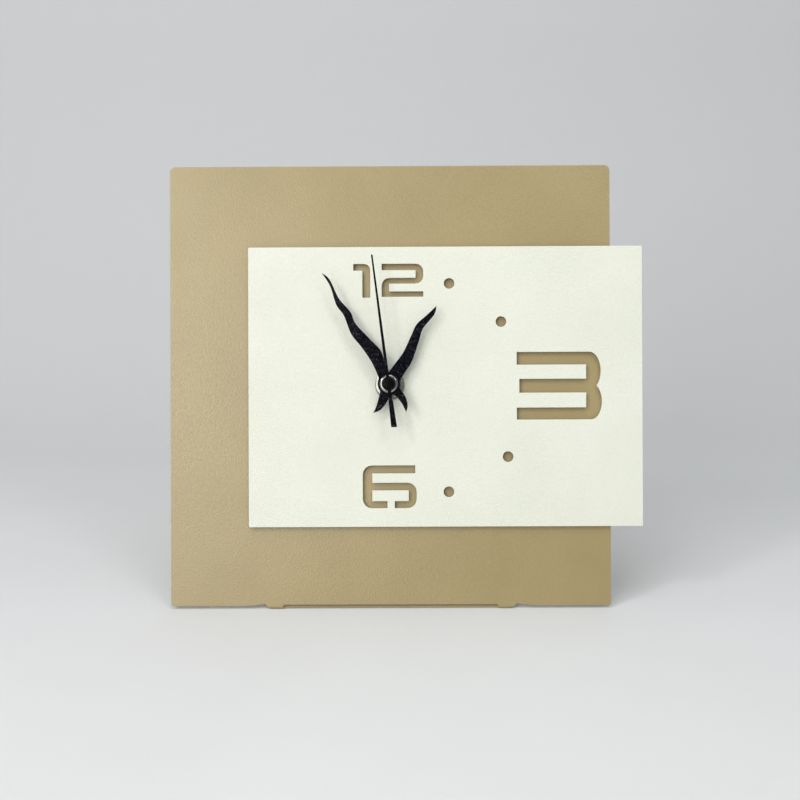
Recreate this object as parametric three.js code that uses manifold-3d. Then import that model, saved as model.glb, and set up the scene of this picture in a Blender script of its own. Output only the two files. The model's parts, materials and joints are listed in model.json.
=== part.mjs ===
// A desk clock made of two laser-cut, powder-coated steel plates.
// The square back plate leans on a foot bent from the same sheet. The oblong dial plate is
// stuck to its front, and a quartz movement clamped behind them turns the three hands.
// Millimetres, +Z up. The dial faces -Y and its top leans towards +Y.
import * as THREE from 'three';
import { mergeVertices } from 'three/addons/utils/BufferGeometryUtils.js';
import Module from 'manifold-3d';

const wasm = await Module();
wasm.setup();

// Driving dimensions. "Axis" is the line that the hands turn about.
const LEAN = THREE.MathUtils.degToRad(15);
const TOUCH = 0.3; // gap left between pieces that rest on each other

const BACK_SIDE = 200;
const BACK_CORNER = 2.5;
const BACK_SHEET = 1.0;
const BEND_INSIDE = 0.2;
const FOOT_WIDTH = 113;
const FOOT_DEPTH = 55;
const FOOT_CORNER = 6;
const BRIDGE_WIDTH = 7.5;
const SLOT_RISE = 0.3; // how far the slot is cut up into the plate, above the bend
const RELIEF_WIDTH = 3;

const DIAL_WIDTH = 178.2;
const DIAL_HEIGHT = 126.7;
const DIAL_DROP = 0.7; // how far its centre lies below the axis
const DIAL_OVERHANG = 14.2; // how far it stands out past the right edge of the back plate
const DIAL_CORNER = 0.5;
const DIAL_SHEET = 1.0;
const PLATE_GAP = 1.2;
const PAD_SIDE = 12;
const PAD_INSET = 10;
const FOAM_GAP = 0.2;

const TWELVE_MARGIN = 7.65; // from the dial's top edge to the top of the 12
const SIX_MARGIN = 8.45; // from the dial's bottom edge to the foot of the 6
const THREE_MARGIN = 18.3; // from the dial's right edge to the widest point of the 3
const DOT_RADIUS = 2.4;
const DOT_PLACES = { one: [27, 46], two: [50.4, 28.6], four: [53.4, -32.5], five: [26.6, -48.3] };

const ARBOR_RADIUS = 0.5; // the seconds arbor; each pipe below runs round the one before it
const ARBOR_PLAY = 0.4;
const MINUTE_PIPE_WALL = 0.85;
const HOUR_PIPE_WALL = 0.65;
const BUSH_WALL = 1.0;
const BUSH_LEDGE = 3.0; // how far the bush's flange stands out from its thread
const BUSH_FLANGE = 1.0;
const BUSH_STAND = 3.2; // how far the thread comes out of the dial
const RUBBER_WASHER = 0.8;
const RUBBER_RING = 4.2;
const FLAT_WASHER = 0.5;
const WASHER_RING = 2.4;
const NUT_RING = 2.1;
const NUT_HEIGHT = 1.7;

const GEAR_ROOM_DROP = 10.8; // from the axis down to the floor of the gear room
const CASE_WALL = 1.2;
const CASE_FACE = 1.5;
const COVER_SHEET = 1.2;
const HANGER_RADIUS = 5;
const HANGER_HOLE = 2;
const HANGER_RISE = 4;
const HANGER_THICK = 4;

const CELL_RADIUS = 7.1;
const CELL_LENGTH = 49.3;
const CELL_NUB = 0.9;
const CELL_NUB_RADIUS = 2.7;
const SPRING_ROOM = 1.7; // between the cell's flat end and the plate of the sprung contact
const CONTACT_SHEET = 0.4;
const SPRING_WIRE = 0.3;

const WHEEL = 0.9; // thickness of every gear wheel
const LEVEL_STEP = 1.6; // distance from one wheel's front face to the next one's
const FINE = ARBOR_RADIUS / 2; // gear module of the electric train: keeps its pinions round the arbor
const DEEPEST_WHEEL = 6; // steps from the hour wheel to the intermediate wheel
const COIL_RISE = 8.465; // from the rotor's centre up to the coil's
const BOBBIN_RADIUS = 3.4;
const STATOR_BAR = 3.5;
const PILLAR_INSET = 11.3; // from the gear room's side wall to a pillar's centre

const HAND_SHEET = 0.4;
const HAND_HUB = 5.0;
const MINUTE_LENGTH = 58;
const HOUR_LENGTH = 41.1;
const SECOND_LENGTH = 57.9;
const HAND_STEP = 1.8; // from the hour hand's face to the minute hand's
const SECOND_STEP = 2.2; // from the minute hand's face to the second hand's
const HOUR_ANGLE = THREE.MathUtils.degToRad(-30.7);
const MINUTE_ANGLE = THREE.MathUtils.degToRad(30.7);
const SECOND_ANGLE = THREE.MathUtils.degToRad(7.2);
const CAP_RADIUS = 2.85;

// The pipes that the hands ride on, one inside the next, and the bush round them all.
const minuteBore = ARBOR_RADIUS + ARBOR_PLAY;
const minutePipe = minuteBore + MINUTE_PIPE_WALL;
const hourBore = minutePipe + TOUCH;
const hourPipe = hourBore + HOUR_PIPE_WALL;
const bushBore = hourPipe + TOUCH;
const bushRadius = bushBore + BUSH_WALL;
const holeRadius = bushRadius + TOUCH;

// Depths, measured along the axis from the front face of the back plate.
const dialBack = PLATE_GAP;
const dialFace = dialBack + DIAL_SHEET;
const caseFace = -BACK_SHEET - RUBBER_WASHER - 2 * TOUCH;
const caseInside = caseFace - CASE_FACE;
const flangeFront = caseInside - TOUCH;
const flangeBack = flangeFront - BUSH_FLANGE;
const bushEnd = dialFace + BUSH_STAND;
const firstWheel = flangeBack - 0.6;
const trainBack = firstWheel - DEEPEST_WHEEL * LEVEL_STEP - WHEEL;
const cellDepth = caseInside - TOUCH - CELL_RADIUS;
const caseBack = Math.min(cellDepth - CELL_RADIUS, trainBack - 3 * TOUCH - COVER_SHEET);
const coverFront = caseBack + COVER_SHEET;
const arborBack = coverFront + TOUCH;

const hourHandBack = bushEnd + 0.7;
const minuteHandBack = hourHandBack + HAND_STEP;
const secondHandBack = minuteHandBack + SECOND_STEP;
const hourPipeEnd = hourHandBack + 1.0;
const minutePipeEnd = minuteHandBack + 1.2;
const arborFront = secondHandBack + 1.0;

const dialRight = BACK_SIDE / 2 + DIAL_OVERHANG;
const dialLeft = dialRight - DIAL_WIDTH;
const dialTop = DIAL_HEIGHT / 2 - DIAL_DROP;
const dialBottom = dialTop - DIAL_HEIGHT;

// Materials, one fresh copy for each mesh.
const finishes = {
  sandCoat: { color: 0xb3a274, roughness: 0.55, metalness: 0.1 },
  whiteCoat: { color: 0xeef0e4, roughness: 0.6, metalness: 0.05 },
  foam: { color: 0xd8d8d4, roughness: 0.95, metalness: 0 },
  blackPlastic: { color: 0x17181a, roughness: 0.5, metalness: 0 },
  whitePlastic: { color: 0xe9e7df, roughness: 0.45, metalness: 0 },
  brass: { color: 0xb7953f, roughness: 0.35, metalness: 1 },
  nickel: { color: 0xa9ab9f, roughness: 0.25, metalness: 1 },
  steel: { color: 0x9a9c9f, roughness: 0.35, metalness: 1 },
  rubber: { color: 0x1b1b1b, roughness: 0.9, metalness: 0 },
  board: { color: 0x6b4a24, roughness: 0.6, metalness: 0 },
  epoxy: { color: 0x0d0d0d, roughness: 0.3, metalness: 0 },
  copper: { color: 0xa85a2c, roughness: 0.4, metalness: 1 },
  magnet: { color: 0x4a4744, roughness: 0.6, metalness: 0.4 },
  cellJacket: { color: 0x7d8186, roughness: 0.35, metalness: 0.6 },
  blackGloss: { color: 0x0b0b0d, roughness: 0.2, metalness: 0.3 },
};

const clock = new THREE.Group();
const dial = new THREE.Group();
clock.add(dial);

// The bend line of the foot fixes where the leaning parts stand: the foot is centred on Y = 0.
const bendOutside = BEND_INSIDE + BACK_SHEET;
const bendY = -FOOT_DEPTH / 2;
const halfBack = BACK_SIDE / 2;
dial.rotation.x = Math.PI / 2 - LEAN;
dial.position.y = bendY + halfBack * Math.sin(LEAN) - bendOutside * Math.cos(LEAN);
dial.position.z = bendOutside + halfBack * Math.cos(LEAN) + bendOutside * Math.sin(LEAN);
dial.updateMatrixWorld();

function addMesh(group, name, geometry, finish) {
  const mesh = new THREE.Mesh(geometry, new THREE.MeshStandardMaterial(finishes[finish]));
  mesh.name = name;
  group.add(mesh);
}

// Solids: manifold-3d joins and cuts what the three.js geometries draw.
function solidOf(geometry) {
  const bare = geometry.clone();
  bare.deleteAttribute('normal');
  bare.deleteAttribute('uv');
  const merged = mergeVertices(bare, 1e-5);
  return new wasm.Manifold(new wasm.Mesh({
    numProp: 3,
    vertProperties: Float32Array.from(merged.attributes.position.array),
    triVerts: Uint32Array.from(merged.index.array),
  }));
}

function geometryOf(solid) {
  const mesh = solid.getMesh();
  const geometry = new THREE.BufferGeometry();
  geometry.setAttribute('position', new THREE.BufferAttribute(mesh.vertProperties, 3));
  geometry.setIndex(new THREE.BufferAttribute(mesh.triVerts, 1));
  return geometry;
}

function join(...geometries) {
  return geometryOf(geometries.map(solidOf).reduce((whole, piece) => whole.add(piece)));
}

function cut(geometry, ...cutters) {
  const rest = cutters.map(solidOf).reduce((left, cutter) => left.subtract(cutter), solidOf(geometry));
  return geometryOf(rest);
}

// Plain forms, standing along the axis (z) from one depth to another.
function box(left, right, bottom, top, back, front) {
  const form = new THREE.BoxGeometry(right - left, top - bottom, front - back);
  return form.translate((left + right) / 2, (bottom + top) / 2, (back + front) / 2);
}

function rod(radius, back, front, x = 0, y = 0, sides = 24) {
  const form = new THREE.CylinderGeometry(radius, radius, front - back, sides);
  return form.rotateX(Math.PI / 2).translate(x, y, (back + front) / 2);
}

function prism(shape, back, front, curveSegments = 3) {
  const settings = { depth: front - back, bevelEnabled: false, curveSegments };
  return new THREE.ExtrudeGeometry(shape, settings).translate(0, 0, back);
}

function turned(profile, sides = 24) {
  const points = profile.map(([radius, depth]) => new THREE.Vector2(radius, depth));
  return new THREE.LatheGeometry(points, sides).rotateX(Math.PI / 2);
}

function ring(inner, outer, back, front, sides = 24) {
  return turned([[outer, back], [outer, front], [inner, front], [inner, back], [outer, back]], sides);
}

// An outline through corners [x, y, radius]; a corner with a radius becomes a true arc.
function outline(corners, path = new THREE.Shape()) {
  const count = corners.length;
  const place = (index) => new THREE.Vector2(...corners[(index + count) % count].slice(0, 2));
  const begin = place(0).lerp(place(-1), 0.5);
  path.moveTo(begin.x, begin.y);
  corners.forEach(([x, y, radius = 0], index) => {
    if (radius === 0) {
      path.lineTo(x, y);
      return;
    }
    const corner = place(index);
    const before = place(index - 1).sub(corner).normalize();
    const after = place(index + 1).sub(corner).normalize();
    const half = Math.acos(before.dot(after)) / 2;
    const start = corner.clone().addScaledVector(before, radius / Math.tan(half));
    const end = corner.clone().addScaledVector(after, radius / Math.tan(half));
    const inward = before.clone().add(after).normalize();
    const middle = corner.clone().addScaledVector(inward, radius / Math.sin(half));
    const startAngle = start.clone().sub(middle).angle();
    const endAngle = end.clone().sub(middle).angle();
    const turnsRight = before.cross(after) > 0;
    path.lineTo(start.x, start.y);
    path.absarc(middle.x, middle.y, radius, startAngle, endAngle, turnsRight);
  });
  return path;
}

function roundedBlock(left, right, bottom, top, radius) {
  const corners = [[left, bottom], [right, bottom], [right, top], [left, top]];
  return outline(corners.map(([x, y]) => [x, y, radius]));
}

// Back plate: one sheet whose foot is bent back at two bridges, with a slot between them.
// The profile is drawn in the (y, z) plane and extruded along x.
function acrossX(shape, left, right) {
  const form = prism(shape, 0, right - left);
  const turn = new THREE.Matrix4().makeBasis(
    new THREE.Vector3(0, 1, 0),
    new THREE.Vector3(0, 0, 1),
    new THREE.Vector3(1, 0, 0),
  );
  return form.applyMatrix4(turn).translate(left, 0, 0);
}

function leaning(y, z) {
  const point = new THREE.Vector3(0, y, z).applyMatrix4(dial.matrixWorld);
  return [point.y, point.z];
}

function sheetProfile() {
  const faceAngle = Math.PI - LEAN;
  const downAngle = 1.5 * Math.PI;
  const shape = new THREE.Shape();
  shape.moveTo(...leaning(halfBack, 0));
  shape.lineTo(...leaning(-halfBack, 0));
  shape.absarc(bendY, bendOutside, bendOutside, faceAngle, downAngle, false);
  shape.lineTo(bendY + FOOT_DEPTH, 0);
  shape.lineTo(bendY + FOOT_DEPTH, BACK_SHEET);
  shape.absarc(bendY, bendOutside, BEND_INSIDE, downAngle, faceAngle, true);
  shape.lineTo(...leaning(halfBack, -BACK_SHEET));
  return shape;
}

// The slot and the reliefs beside the bridges rise a little above the plate's bottom edge.
function plateNotch(left, right) {
  const notch = box(left, right, -halfBack - 0.1, -halfBack + SLOT_RISE, -BACK_SHEET - 0.1, 1);
  return notch.applyMatrix4(dial.matrixWorld);
}

function backPlate() {
  const beyond = 5;
  const bend = [bendY, bendOutside];
  const ahead = leaning(-halfBack, beyond);
  const slotProfile = outline([bend, ahead, [bendY - beyond, -1], [bendY, -1]]);
  const behind = bendY + FOOT_DEPTH + beyond;
  const sideProfile = outline([bend, ahead, [bendY - beyond, -1], [behind, -1], [behind, bendOutside]]);
  const halfFoot = FOOT_WIDTH / 2;
  const halfSlot = halfFoot - BRIDGE_WIDTH;
  const cutters = [
    acrossX(slotProfile, -halfSlot, halfSlot),
    acrossX(sideProfile, -halfBack - 1, -halfFoot),
    acrossX(sideProfile, halfFoot, halfBack + 1),
    rod(holeRadius, -BACK_SHEET - 1, 1).applyMatrix4(dial.matrixWorld),
    plateNotch(-halfSlot, halfSlot),
    plateNotch(-halfFoot - RELIEF_WIDTH, -halfFoot),
    plateNotch(halfFoot, halfFoot + RELIEF_WIDTH),
  ];
  for (const side of [-1, 1]) {
    for (const end of [-1, 1]) {
      const corner = cornerCutter(BACK_CORNER, side, end, side * halfBack, end * halfBack);
      cutters.push(prism(corner, -BACK_SHEET - 1, 1).applyMatrix4(dial.matrixWorld));
    }
    const heel = cornerCutter(FOOT_CORNER, side, 1, side * halfFoot, bendY + FOOT_DEPTH);
    cutters.push(prism(heel, -1, BACK_SHEET + 0.5));
  }
  return cut(acrossX(sheetProfile(), -halfBack, halfBack), ...cutters);
}

// What is cut off a square corner at (x, y) to round it; side and end give its quadrant.
function cornerCutter(radius, side, end, x, y) {
  const shape = new THREE.Shape();
  const middleX = x - side * radius;
  const middleY = y - end * radius;
  const flat = side > 0 ? 0 : Math.PI;
  const upright = end * Math.PI / 2;
  shape.moveTo(x + side, y + end);
  shape.lineTo(x + side, middleY);
  shape.absarc(middleX, middleY, radius, flat, upright, side * end < 0);
  shape.lineTo(middleX, y + end);
  return shape;
}

addMesh(clock, 'back_plate', backPlate(), 'sandCoat');

// Dial plate with the stencil numbers 12, 3 and 6 and four round hour marks cut through it.
function numberOne(top) {
  const stroke = 3.03;
  return outline([
    [-16.35, top], [-8.7, top, 2.85], [-8.7, top - 15.3], [-12.25, top - 15.3],
    [-12.25, top - stroke], [-16.35, top - stroke],
  ], new THREE.Path());
}

function numberTwo(top) {
  const round = 3.44;
  const middle = top - 6.38;
  const foot = top - 14.98;
  return outline([
    [-3.5, top], [15.32, top, round], [15.32, middle - 2.62, round], [-0.15, middle - 2.62],
    [-0.15, foot + 2.45], [15.32, foot + 2.45], [15.32, foot], [-3.5, foot],
    [-3.5, middle, round], [11.88, middle], [11.88, top - 2.9], [-3.5, top - 2.9],
  ], new THREE.Path());
}

function numberSix(bottom) {
  const round = 4.07;
  const top = bottom + 19.32;
  const waist = bottom + 11.45;
  return outline([
    [-1.2, bottom], [-12.37, bottom, round], [-12.37, top, round], [11.4, top],
    [11.4, top - 3.57], [-8.07, top - 3.57], [-8.07, waist], [12, waist, round],
    [12, bottom, round], [2.1, bottom], [2.1, bottom + 3.17], [8.43, bottom + 3.17],
    [8.43, waist - 3.39], [-8.07, waist - 3.39], [-8.07, bottom + 3.17], [-1.2, bottom + 3.17],
  ], new THREE.Path());
}

function numberThree(right) {
  const path = new THREE.Path();
  const left = right - 38.46;
  const inner = right - 7.1;
  path.moveTo(left, 14.8);
  path.lineTo(right - 5.56, 14.8);
  path.absellipse(right - 5.56, 6.2, 5.06, 8.6, Math.PI / 2, -0.893, true);
  path.absellipse(right - 4.8, -7.6, 4.8, 8.19, 1.049, -Math.PI / 2, true);
  path.lineTo(left, -15.79);
  path.lineTo(left, -10.36);
  path.lineTo(inner, -10.36);
  path.lineTo(inner, -3.62);
  path.lineTo(left + 1.18, -3.62);
  path.lineTo(left + 1.18, 2.62);
  path.lineTo(inner, 2.62);
  path.lineTo(inner, 9.05);
  path.lineTo(left, 9.05);
  path.closePath();
  return path;
}

function roundHole(radius, x, y) {
  const path = new THREE.Path().moveTo(x + radius, y);
  for (let quarter = 0; quarter < 4; quarter += 1) {
    path.absarc(x, y, radius, quarter * Math.PI / 2, (quarter + 1) * Math.PI / 2, false);
  }
  return path;
}

function dialPlate() {
  const shape = roundedBlock(dialLeft, dialRight, dialBottom, dialTop, DIAL_CORNER);
  const numbersTop = dialTop - TWELVE_MARGIN;
  shape.holes.push(roundHole(holeRadius, 0, 0));
  shape.holes.push(numberOne(numbersTop));
  shape.holes.push(numberTwo(numbersTop));
  shape.holes.push(numberThree(dialRight - THREE_MARGIN));
  shape.holes.push(numberSix(dialBottom + SIX_MARGIN));
  for (const [x, y] of Object.values(DOT_PLACES)) {
    shape.holes.push(roundHole(DOT_RADIUS, x, y));
  }
  return prism(shape, dialBack, dialFace);
}

addMesh(dial, 'front_plate', dialPlate(), 'whiteCoat');

// Four foam pads hold the dial plate off the back plate.
const padRight = Math.min(dialRight, halfBack) - PAD_INSET;
const padLeft = Math.max(dialLeft, -halfBack) + PAD_INSET;
const padTop = Math.min(dialTop, halfBack) - PAD_INSET;
const padBottom = Math.max(dialBottom, -halfBack) + PAD_INSET;
const padPlaces = [[padLeft, padTop], [padRight, padTop], [padLeft, padBottom], [padRight, padBottom]];
padPlaces.forEach(([x, y], index) => {
  const half = PAD_SIDE / 2;
  const pad = roundedBlock(x - half, x + half, y - half, y + half, 1);
  addMesh(dial, `foam_pad_${index + 1}`, prism(pad, FOAM_GAP, PLATE_GAP - FOAM_GAP), 'foam');
});

// Fixings that clamp the movement through both plates.
const rubberFront = -BACK_SHEET - TOUCH;
const rubberBack = rubberFront - RUBBER_WASHER;
const rubberWasher = ring(holeRadius + 0.1, holeRadius + RUBBER_RING, rubberBack, rubberFront);
addMesh(dial, 'rubber_washer', rubberWasher, 'rubber');

const flangeRadius = bushRadius + BUSH_LEDGE;
addMesh(dial, 'threaded_bush', turned([
  [flangeRadius, flangeBack], [flangeRadius, flangeFront], [bushRadius, flangeFront],
  [bushRadius, bushEnd - 0.4], [bushRadius - 0.4, bushEnd], [bushBore, bushEnd],
  [bushBore, flangeBack], [flangeRadius, flangeBack],
]), 'brass');

const washerBack = dialFace + TOUCH;
const washerFront = washerBack + FLAT_WASHER;
const nutBack = washerFront + TOUCH;
const nutFront = nutBack + NUT_HEIGHT;
const flatWasher = ring(holeRadius, holeRadius + WASHER_RING, washerBack, washerFront, 28);
addMesh(dial, 'flat_washer', flatWasher, 'nickel');
const nutRadius = holeRadius + NUT_RING;
addMesh(dial, 'mounting_nut', turned([
  [nutRadius, nutBack], [nutRadius, nutFront - 0.6], [nutRadius - 0.2, nutFront - 0.2],
  [nutRadius - 0.6, nutFront], [holeRadius, nutFront], [holeRadius, nutBack], [nutRadius, nutBack],
], 28), 'nickel');

// Gear train, drawn to work: each wheel's centre lies at its pitch distance from its neighbour.
const pitch = (teeth, module) => teeth * module / 2;
const level = (index) => firstWheel - index * LEVEL_STEP;

const secondsDrive = { wheel: 60, pinion: 10, module: FINE };
const rotorDrive = { wheel: 60, pinion: 12, module: FINE };
const thirdCentres = pitch(8 + 64, FINE);
const thirdModule = 2 * thirdCentres / (8 + 60);
const motionModule = 0.35;
const motionCentres = pitch(12 + 36, motionModule);
const hourModule = 2 * motionCentres / (10 + 40);

function polar(distance, degrees, from = { x: 0, y: 0 }) {
  const angle = THREE.MathUtils.degToRad(degrees);
  return { x: from.x + distance * Math.cos(angle), y: from.y + distance * Math.sin(angle), angle };
}

const intermediate = polar(pitch(secondsDrive.wheel + secondsDrive.pinion, FINE), 90);
const rotor = polar(pitch(rotorDrive.wheel + rotorDrive.pinion, FINE), 40, intermediate);
const third = polar(thirdCentres, 165);
const motion = polar(motionCentres, 60);
const knob = polar(motionCentres, 20, motion);

// Movement case: a tub with a gear room above and a cell bay below, both open at the back.
// The bay is as long as the cell and its contacts, and the room as high as the coil.
const coilHeight = rotor.y + COIL_RISE;
const inside = (CELL_LENGTH + CELL_NUB + SPRING_ROOM + 3 * TOUCH + 2 * CONTACT_SHEET) / 2;
const halfCase = inside + CASE_WALL;
const roomTop = coilHeight + BOBBIN_RADIUS + TOUCH + 0.1;
const caseTop = roomTop + CASE_WALL;
const roomBottom = -GEAR_ROOM_DROP;
const bayTop = roomBottom - CASE_WALL;
const cellHeight = bayTop - TOUCH - CELL_RADIUS;
const bayBottom = cellHeight - CELL_RADIUS - TOUCH;
const caseBottom = bayBottom - CASE_WALL;
const coverBottom = roomBottom - CASE_WALL / 2 + TOUCH;

function caseTub() {
  const hangerFront = caseBack + COVER_SHEET + 4.5 + HANGER_THICK;
  const hangerBack = hangerFront - HANGER_THICK;
  const loopHeight = caseTop + HANGER_RISE;
  const body = join(
    prism(roundedBlock(-halfCase, halfCase, caseBottom, caseTop, 2), caseBack, caseFace),
    rod(HANGER_RADIUS, hangerBack, hangerFront, 0, loopHeight),
    box(-HANGER_RADIUS, HANGER_RADIUS, caseTop - 1, loopHeight, hangerBack, hangerFront),
  );
  const past = caseBack - 1;
  return cut(
    body,
    box(-inside, inside, roomBottom, roomTop, past, caseInside),
    box(-inside, inside, bayBottom, bayTop, past, caseInside),
    box(-halfCase - 1, halfCase + 1, coverBottom - TOUCH, caseTop + 1, past, coverFront + TOUCH),
    rod(holeRadius, caseInside - 1, caseFace + 1),
    rod(HANGER_HOLE, hangerBack - 1, hangerFront + 1, 0, loopHeight + 0.5),
  );
}

addMesh(dial, 'case_front', caseTub(), 'blackPlastic');

// A wheel with stubby teeth that leave each other play; "phase" is the angle of one tooth.
function gear(teeth, module, phase, place, back, front, bore = 0) {
  const tip = pitch(teeth, module) + 0.6 * module;
  const root = pitch(teeth, module) - 1.2 * module;
  const step = 2 * Math.PI / teeth;
  const tooth = [[root, -0.5], [tip, -0.06], [tip, 0.06]];
  const points = [];
  for (let count = 0; count < teeth; count += 1) {
    for (const [radius, share] of tooth) {
      const angle = phase + (count + share) * step;
      points.push(new THREE.Vector2(radius * Math.cos(angle), radius * Math.sin(angle)));
    }
  }
  const shape = new THREE.Shape(points);
  if (bore > 0) {
    shape.holes.push(roundHole(bore, 0, 0));
  }
  return prism(shape, back, front, 2).translate(place.x, place.y, 0);
}

// The phase that sets a driven gear's gap opposite a tooth of its driver.
function meshPhase(driverTeeth, driverPhase, drivenTeeth, direction) {
  const teethFromLine = (direction - driverPhase) * driverTeeth / (2 * Math.PI);
  return direction + Math.PI - (0.5 - teethFromLine) * 2 * Math.PI / drivenTeeth;
}

const axis = { x: 0, y: 0 };
const playRadius = ARBOR_RADIUS + TOUCH;

// Seconds arbor, with the wheel and pinion moulded on it.
const secondsLevel = level(5);
const thirdLevel = level(4);
const secondsPhase = 0;
addMesh(dial, 'seconds_arbor', rod(ARBOR_RADIUS, arborBack, arborFront, 0, 0, 16), 'steel');
addMesh(dial, 'seconds_wheel', join(
  gear(secondsDrive.wheel, FINE, secondsPhase, axis, secondsLevel - WHEEL, secondsLevel, playRadius - 0.1),
  gear(8, thirdModule, secondsPhase, axis, secondsLevel - WHEEL / 2, thirdLevel + TOUCH, playRadius - 0.1),
), 'whitePlastic');

// Intermediate wheel, between the rotor and the seconds wheel.
const intermediateLevel = level(DEEPEST_WHEEL);
const intermediatePhase = meshPhase(
  secondsDrive.wheel, secondsPhase, secondsDrive.pinion, intermediate.angle,
);
const intermediateBack = intermediateLevel - WHEEL;
const pinionBack = intermediateLevel - WHEEL / 2;
const pivotFront = level(3) - WHEEL - TOUCH;
addMesh(dial, 'intermediate_wheel', join(
  gear(rotorDrive.wheel, FINE, intermediatePhase, intermediate, intermediateBack, intermediateLevel),
  gear(secondsDrive.pinion, FINE, intermediatePhase, intermediate, pinionBack, secondsLevel + TOUCH),
  rod(0.4, arborBack, pivotFront, intermediate.x, intermediate.y, 12),
), 'whitePlastic');

// Rotor: a pinion on its own arbor inside a ring magnet.
const magnetBack = secondsLevel - WHEEL;
const rotorPhase = meshPhase(rotorDrive.wheel, intermediatePhase, rotorDrive.pinion, rotor.angle);
addMesh(dial, 'rotor_pinion', join(
  gear(rotorDrive.pinion, FINE, rotorPhase, rotor, intermediateBack - TOUCH, intermediateLevel + TOUCH),
  rod(0.6, arborBack, pivotFront, rotor.x, rotor.y, 12),
), 'whitePlastic');
const magnet = ring(0.9, 3, magnetBack, magnetBack + 2);
addMesh(dial, 'rotor_magnet', magnet.translate(rotor.x, rotor.y, 0), 'magnet');

// Third wheel, between the seconds pinion and the centre wheel.
const centreLevel = level(2);
const thirdPhase = meshPhase(8, secondsPhase, 60, third.angle);
addMesh(dial, 'third_wheel', join(
  gear(60, thirdModule, thirdPhase, third, thirdLevel - WHEEL, thirdLevel),
  gear(8, FINE, thirdPhase, third, centreLevel - WHEEL - TOUCH, centreLevel + TOUCH),
  rod(ARBOR_RADIUS, arborBack, flangeFront, third.x, third.y, 12),
), 'whitePlastic');
const centrePhase = meshPhase(8, thirdPhase, 64, third.angle + Math.PI);
const centreWheel = gear(64, FINE, centrePhase, axis, centreLevel - WHEEL, centreLevel, playRadius);
addMesh(dial, 'centre_wheel', centreWheel, 'brass');

// Minute arbor: the cannon pinion and its pipe. It slips on the centre wheel when the hands are set.
const motionLevel = level(1);
addMesh(dial, 'cannon_pinion', join(
  gear(12, motionModule, 0, axis, centreLevel + 0.4, motionLevel + TOUCH, minuteBore),
  ring(minuteBore, minutePipe, centreLevel + 0.4, minutePipeEnd, 16),
), 'brass');

// Motion wheel, which steps the minute arbor down to the hour wheel.
const motionPhase = meshPhase(12, 0, 36, motion.angle);
const hourLevel = level(0);
addMesh(dial, 'motion_wheel', join(
  gear(36, motionModule, motionPhase, motion, motionLevel - WHEEL, motionLevel),
  gear(10, hourModule, motionPhase, motion, motionLevel - WHEEL / 2, flangeBack - TOUCH),
  rod(0.4, motionLevel - WHEEL / 2, flangeFront, motion.x, motion.y, 12),
), 'whitePlastic');
const hourPhase = meshPhase(10, motionPhase, 40, motion.angle + Math.PI);
addMesh(dial, 'hour_wheel', join(
  gear(40, hourModule, hourPhase, axis, hourLevel - WHEEL, hourLevel, hourBore),
  ring(hourBore, hourPipe, hourLevel - WHEEL, hourPipeEnd, 16),
), 'whitePlastic');

// Setting knob at the back; its stem carries a pinion that turns the motion wheel.
const knobPhase = meshPhase(36, motionPhase, 12, knob.angle);
const knobGrip = [];
for (let rib = 0; rib < 24; rib += 1) {
  const angle = rib * Math.PI / 12;
  knobGrip.push(new THREE.Vector2(4.8 * Math.cos(angle), 4.8 * Math.sin(angle)));
  knobGrip.push(new THREE.Vector2(5.2 * Math.cos(angle + 0.09), 5.2 * Math.sin(angle + 0.09)));
  knobGrip.push(new THREE.Vector2(5.2 * Math.cos(angle + 0.17), 5.2 * Math.sin(angle + 0.17)));
}
const knobFront = caseBack - TOUCH;
addMesh(dial, 'setting_knob', join(
  gear(12, motionModule, knobPhase, knob, motionLevel - WHEEL, motionLevel),
  rod(1, knobFront - 1, motionLevel - WHEEL / 2, knob.x, knob.y, 16),
  prism(new THREE.Shape(knobGrip), knobFront - 2.2, knobFront).translate(knob.x, knob.y, 0),
), 'blackPlastic');

// Middle plate on four pillars, with holes for the arbors that pass through it.
const plateFront = level(3);
const pillarX = inside - PILLAR_INSET;
const pillarLow = roomBottom + 2.8;
const pillarHigh = 16.5;
const pillars = [-pillarX, pillarX].flatMap((x) => [[x, pillarLow], [x, pillarHigh]]);
const plateEdge = 1.5; // from a pillar's centre out to the plate's edge
addMesh(dial, 'middle_plate', cut(
  join(
    prism(roundedBlock(
      -pillarX - plateEdge,
      pillarX + plateEdge,
      pillarLow - plateEdge,
      pillarHigh + plateEdge,
      plateEdge,
    ), plateFront - 0.7, plateFront),
    ...pillars.map(([x, y]) => rod(1.2, plateFront - 0.3, flangeFront, x, y, 8)),
  ),
  rod(1.2, plateFront - 2, plateFront + 1, 0, 0, 16),
  rod(ARBOR_RADIUS + 0.4, plateFront - 2, plateFront + 1, third.x, third.y, 12),
  rod(1.5, plateFront - 2, plateFront + 1, knob.x, knob.y, 16),
), 'whitePlastic');

// Stepping motor: the stator hugs the rotor and carries the coil's core on its two arms.
const statorFront = magnetBack + 1.4;
const statorBack = statorFront - 0.8;
const armLeft = -14;
const armRight = 15;
const armTop = coilHeight + 1.2;
const barBottom = rotor.y - STATOR_BAR / 2;
const barTop = rotor.y + STATOR_BAR / 2;
addMesh(dial, 'stator', cut(
  join(
    box(armLeft, armRight, barBottom, barTop, statorBack, statorFront),
    rod(4.6, statorBack, statorFront, rotor.x, rotor.y),
    box(armLeft, armLeft + STATOR_BAR, barBottom, armTop, statorBack, statorFront),
    box(armRight - STATOR_BAR, armRight, barBottom, armTop, statorBack, statorFront),
  ),
  rod(3.4, statorBack - 1, statorFront + 1, rotor.x, rotor.y),
), 'steel');

const coreBack = statorFront + TOUCH;
const coreFront = coreBack + 0.8;
const coilDepth = (coreBack + coreFront) / 2;
const core = box(armLeft, armRight, coilHeight - 0.8, coilHeight + 0.8, coreBack, coreFront);
addMesh(dial, 'coil_core', core, 'steel');

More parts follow.
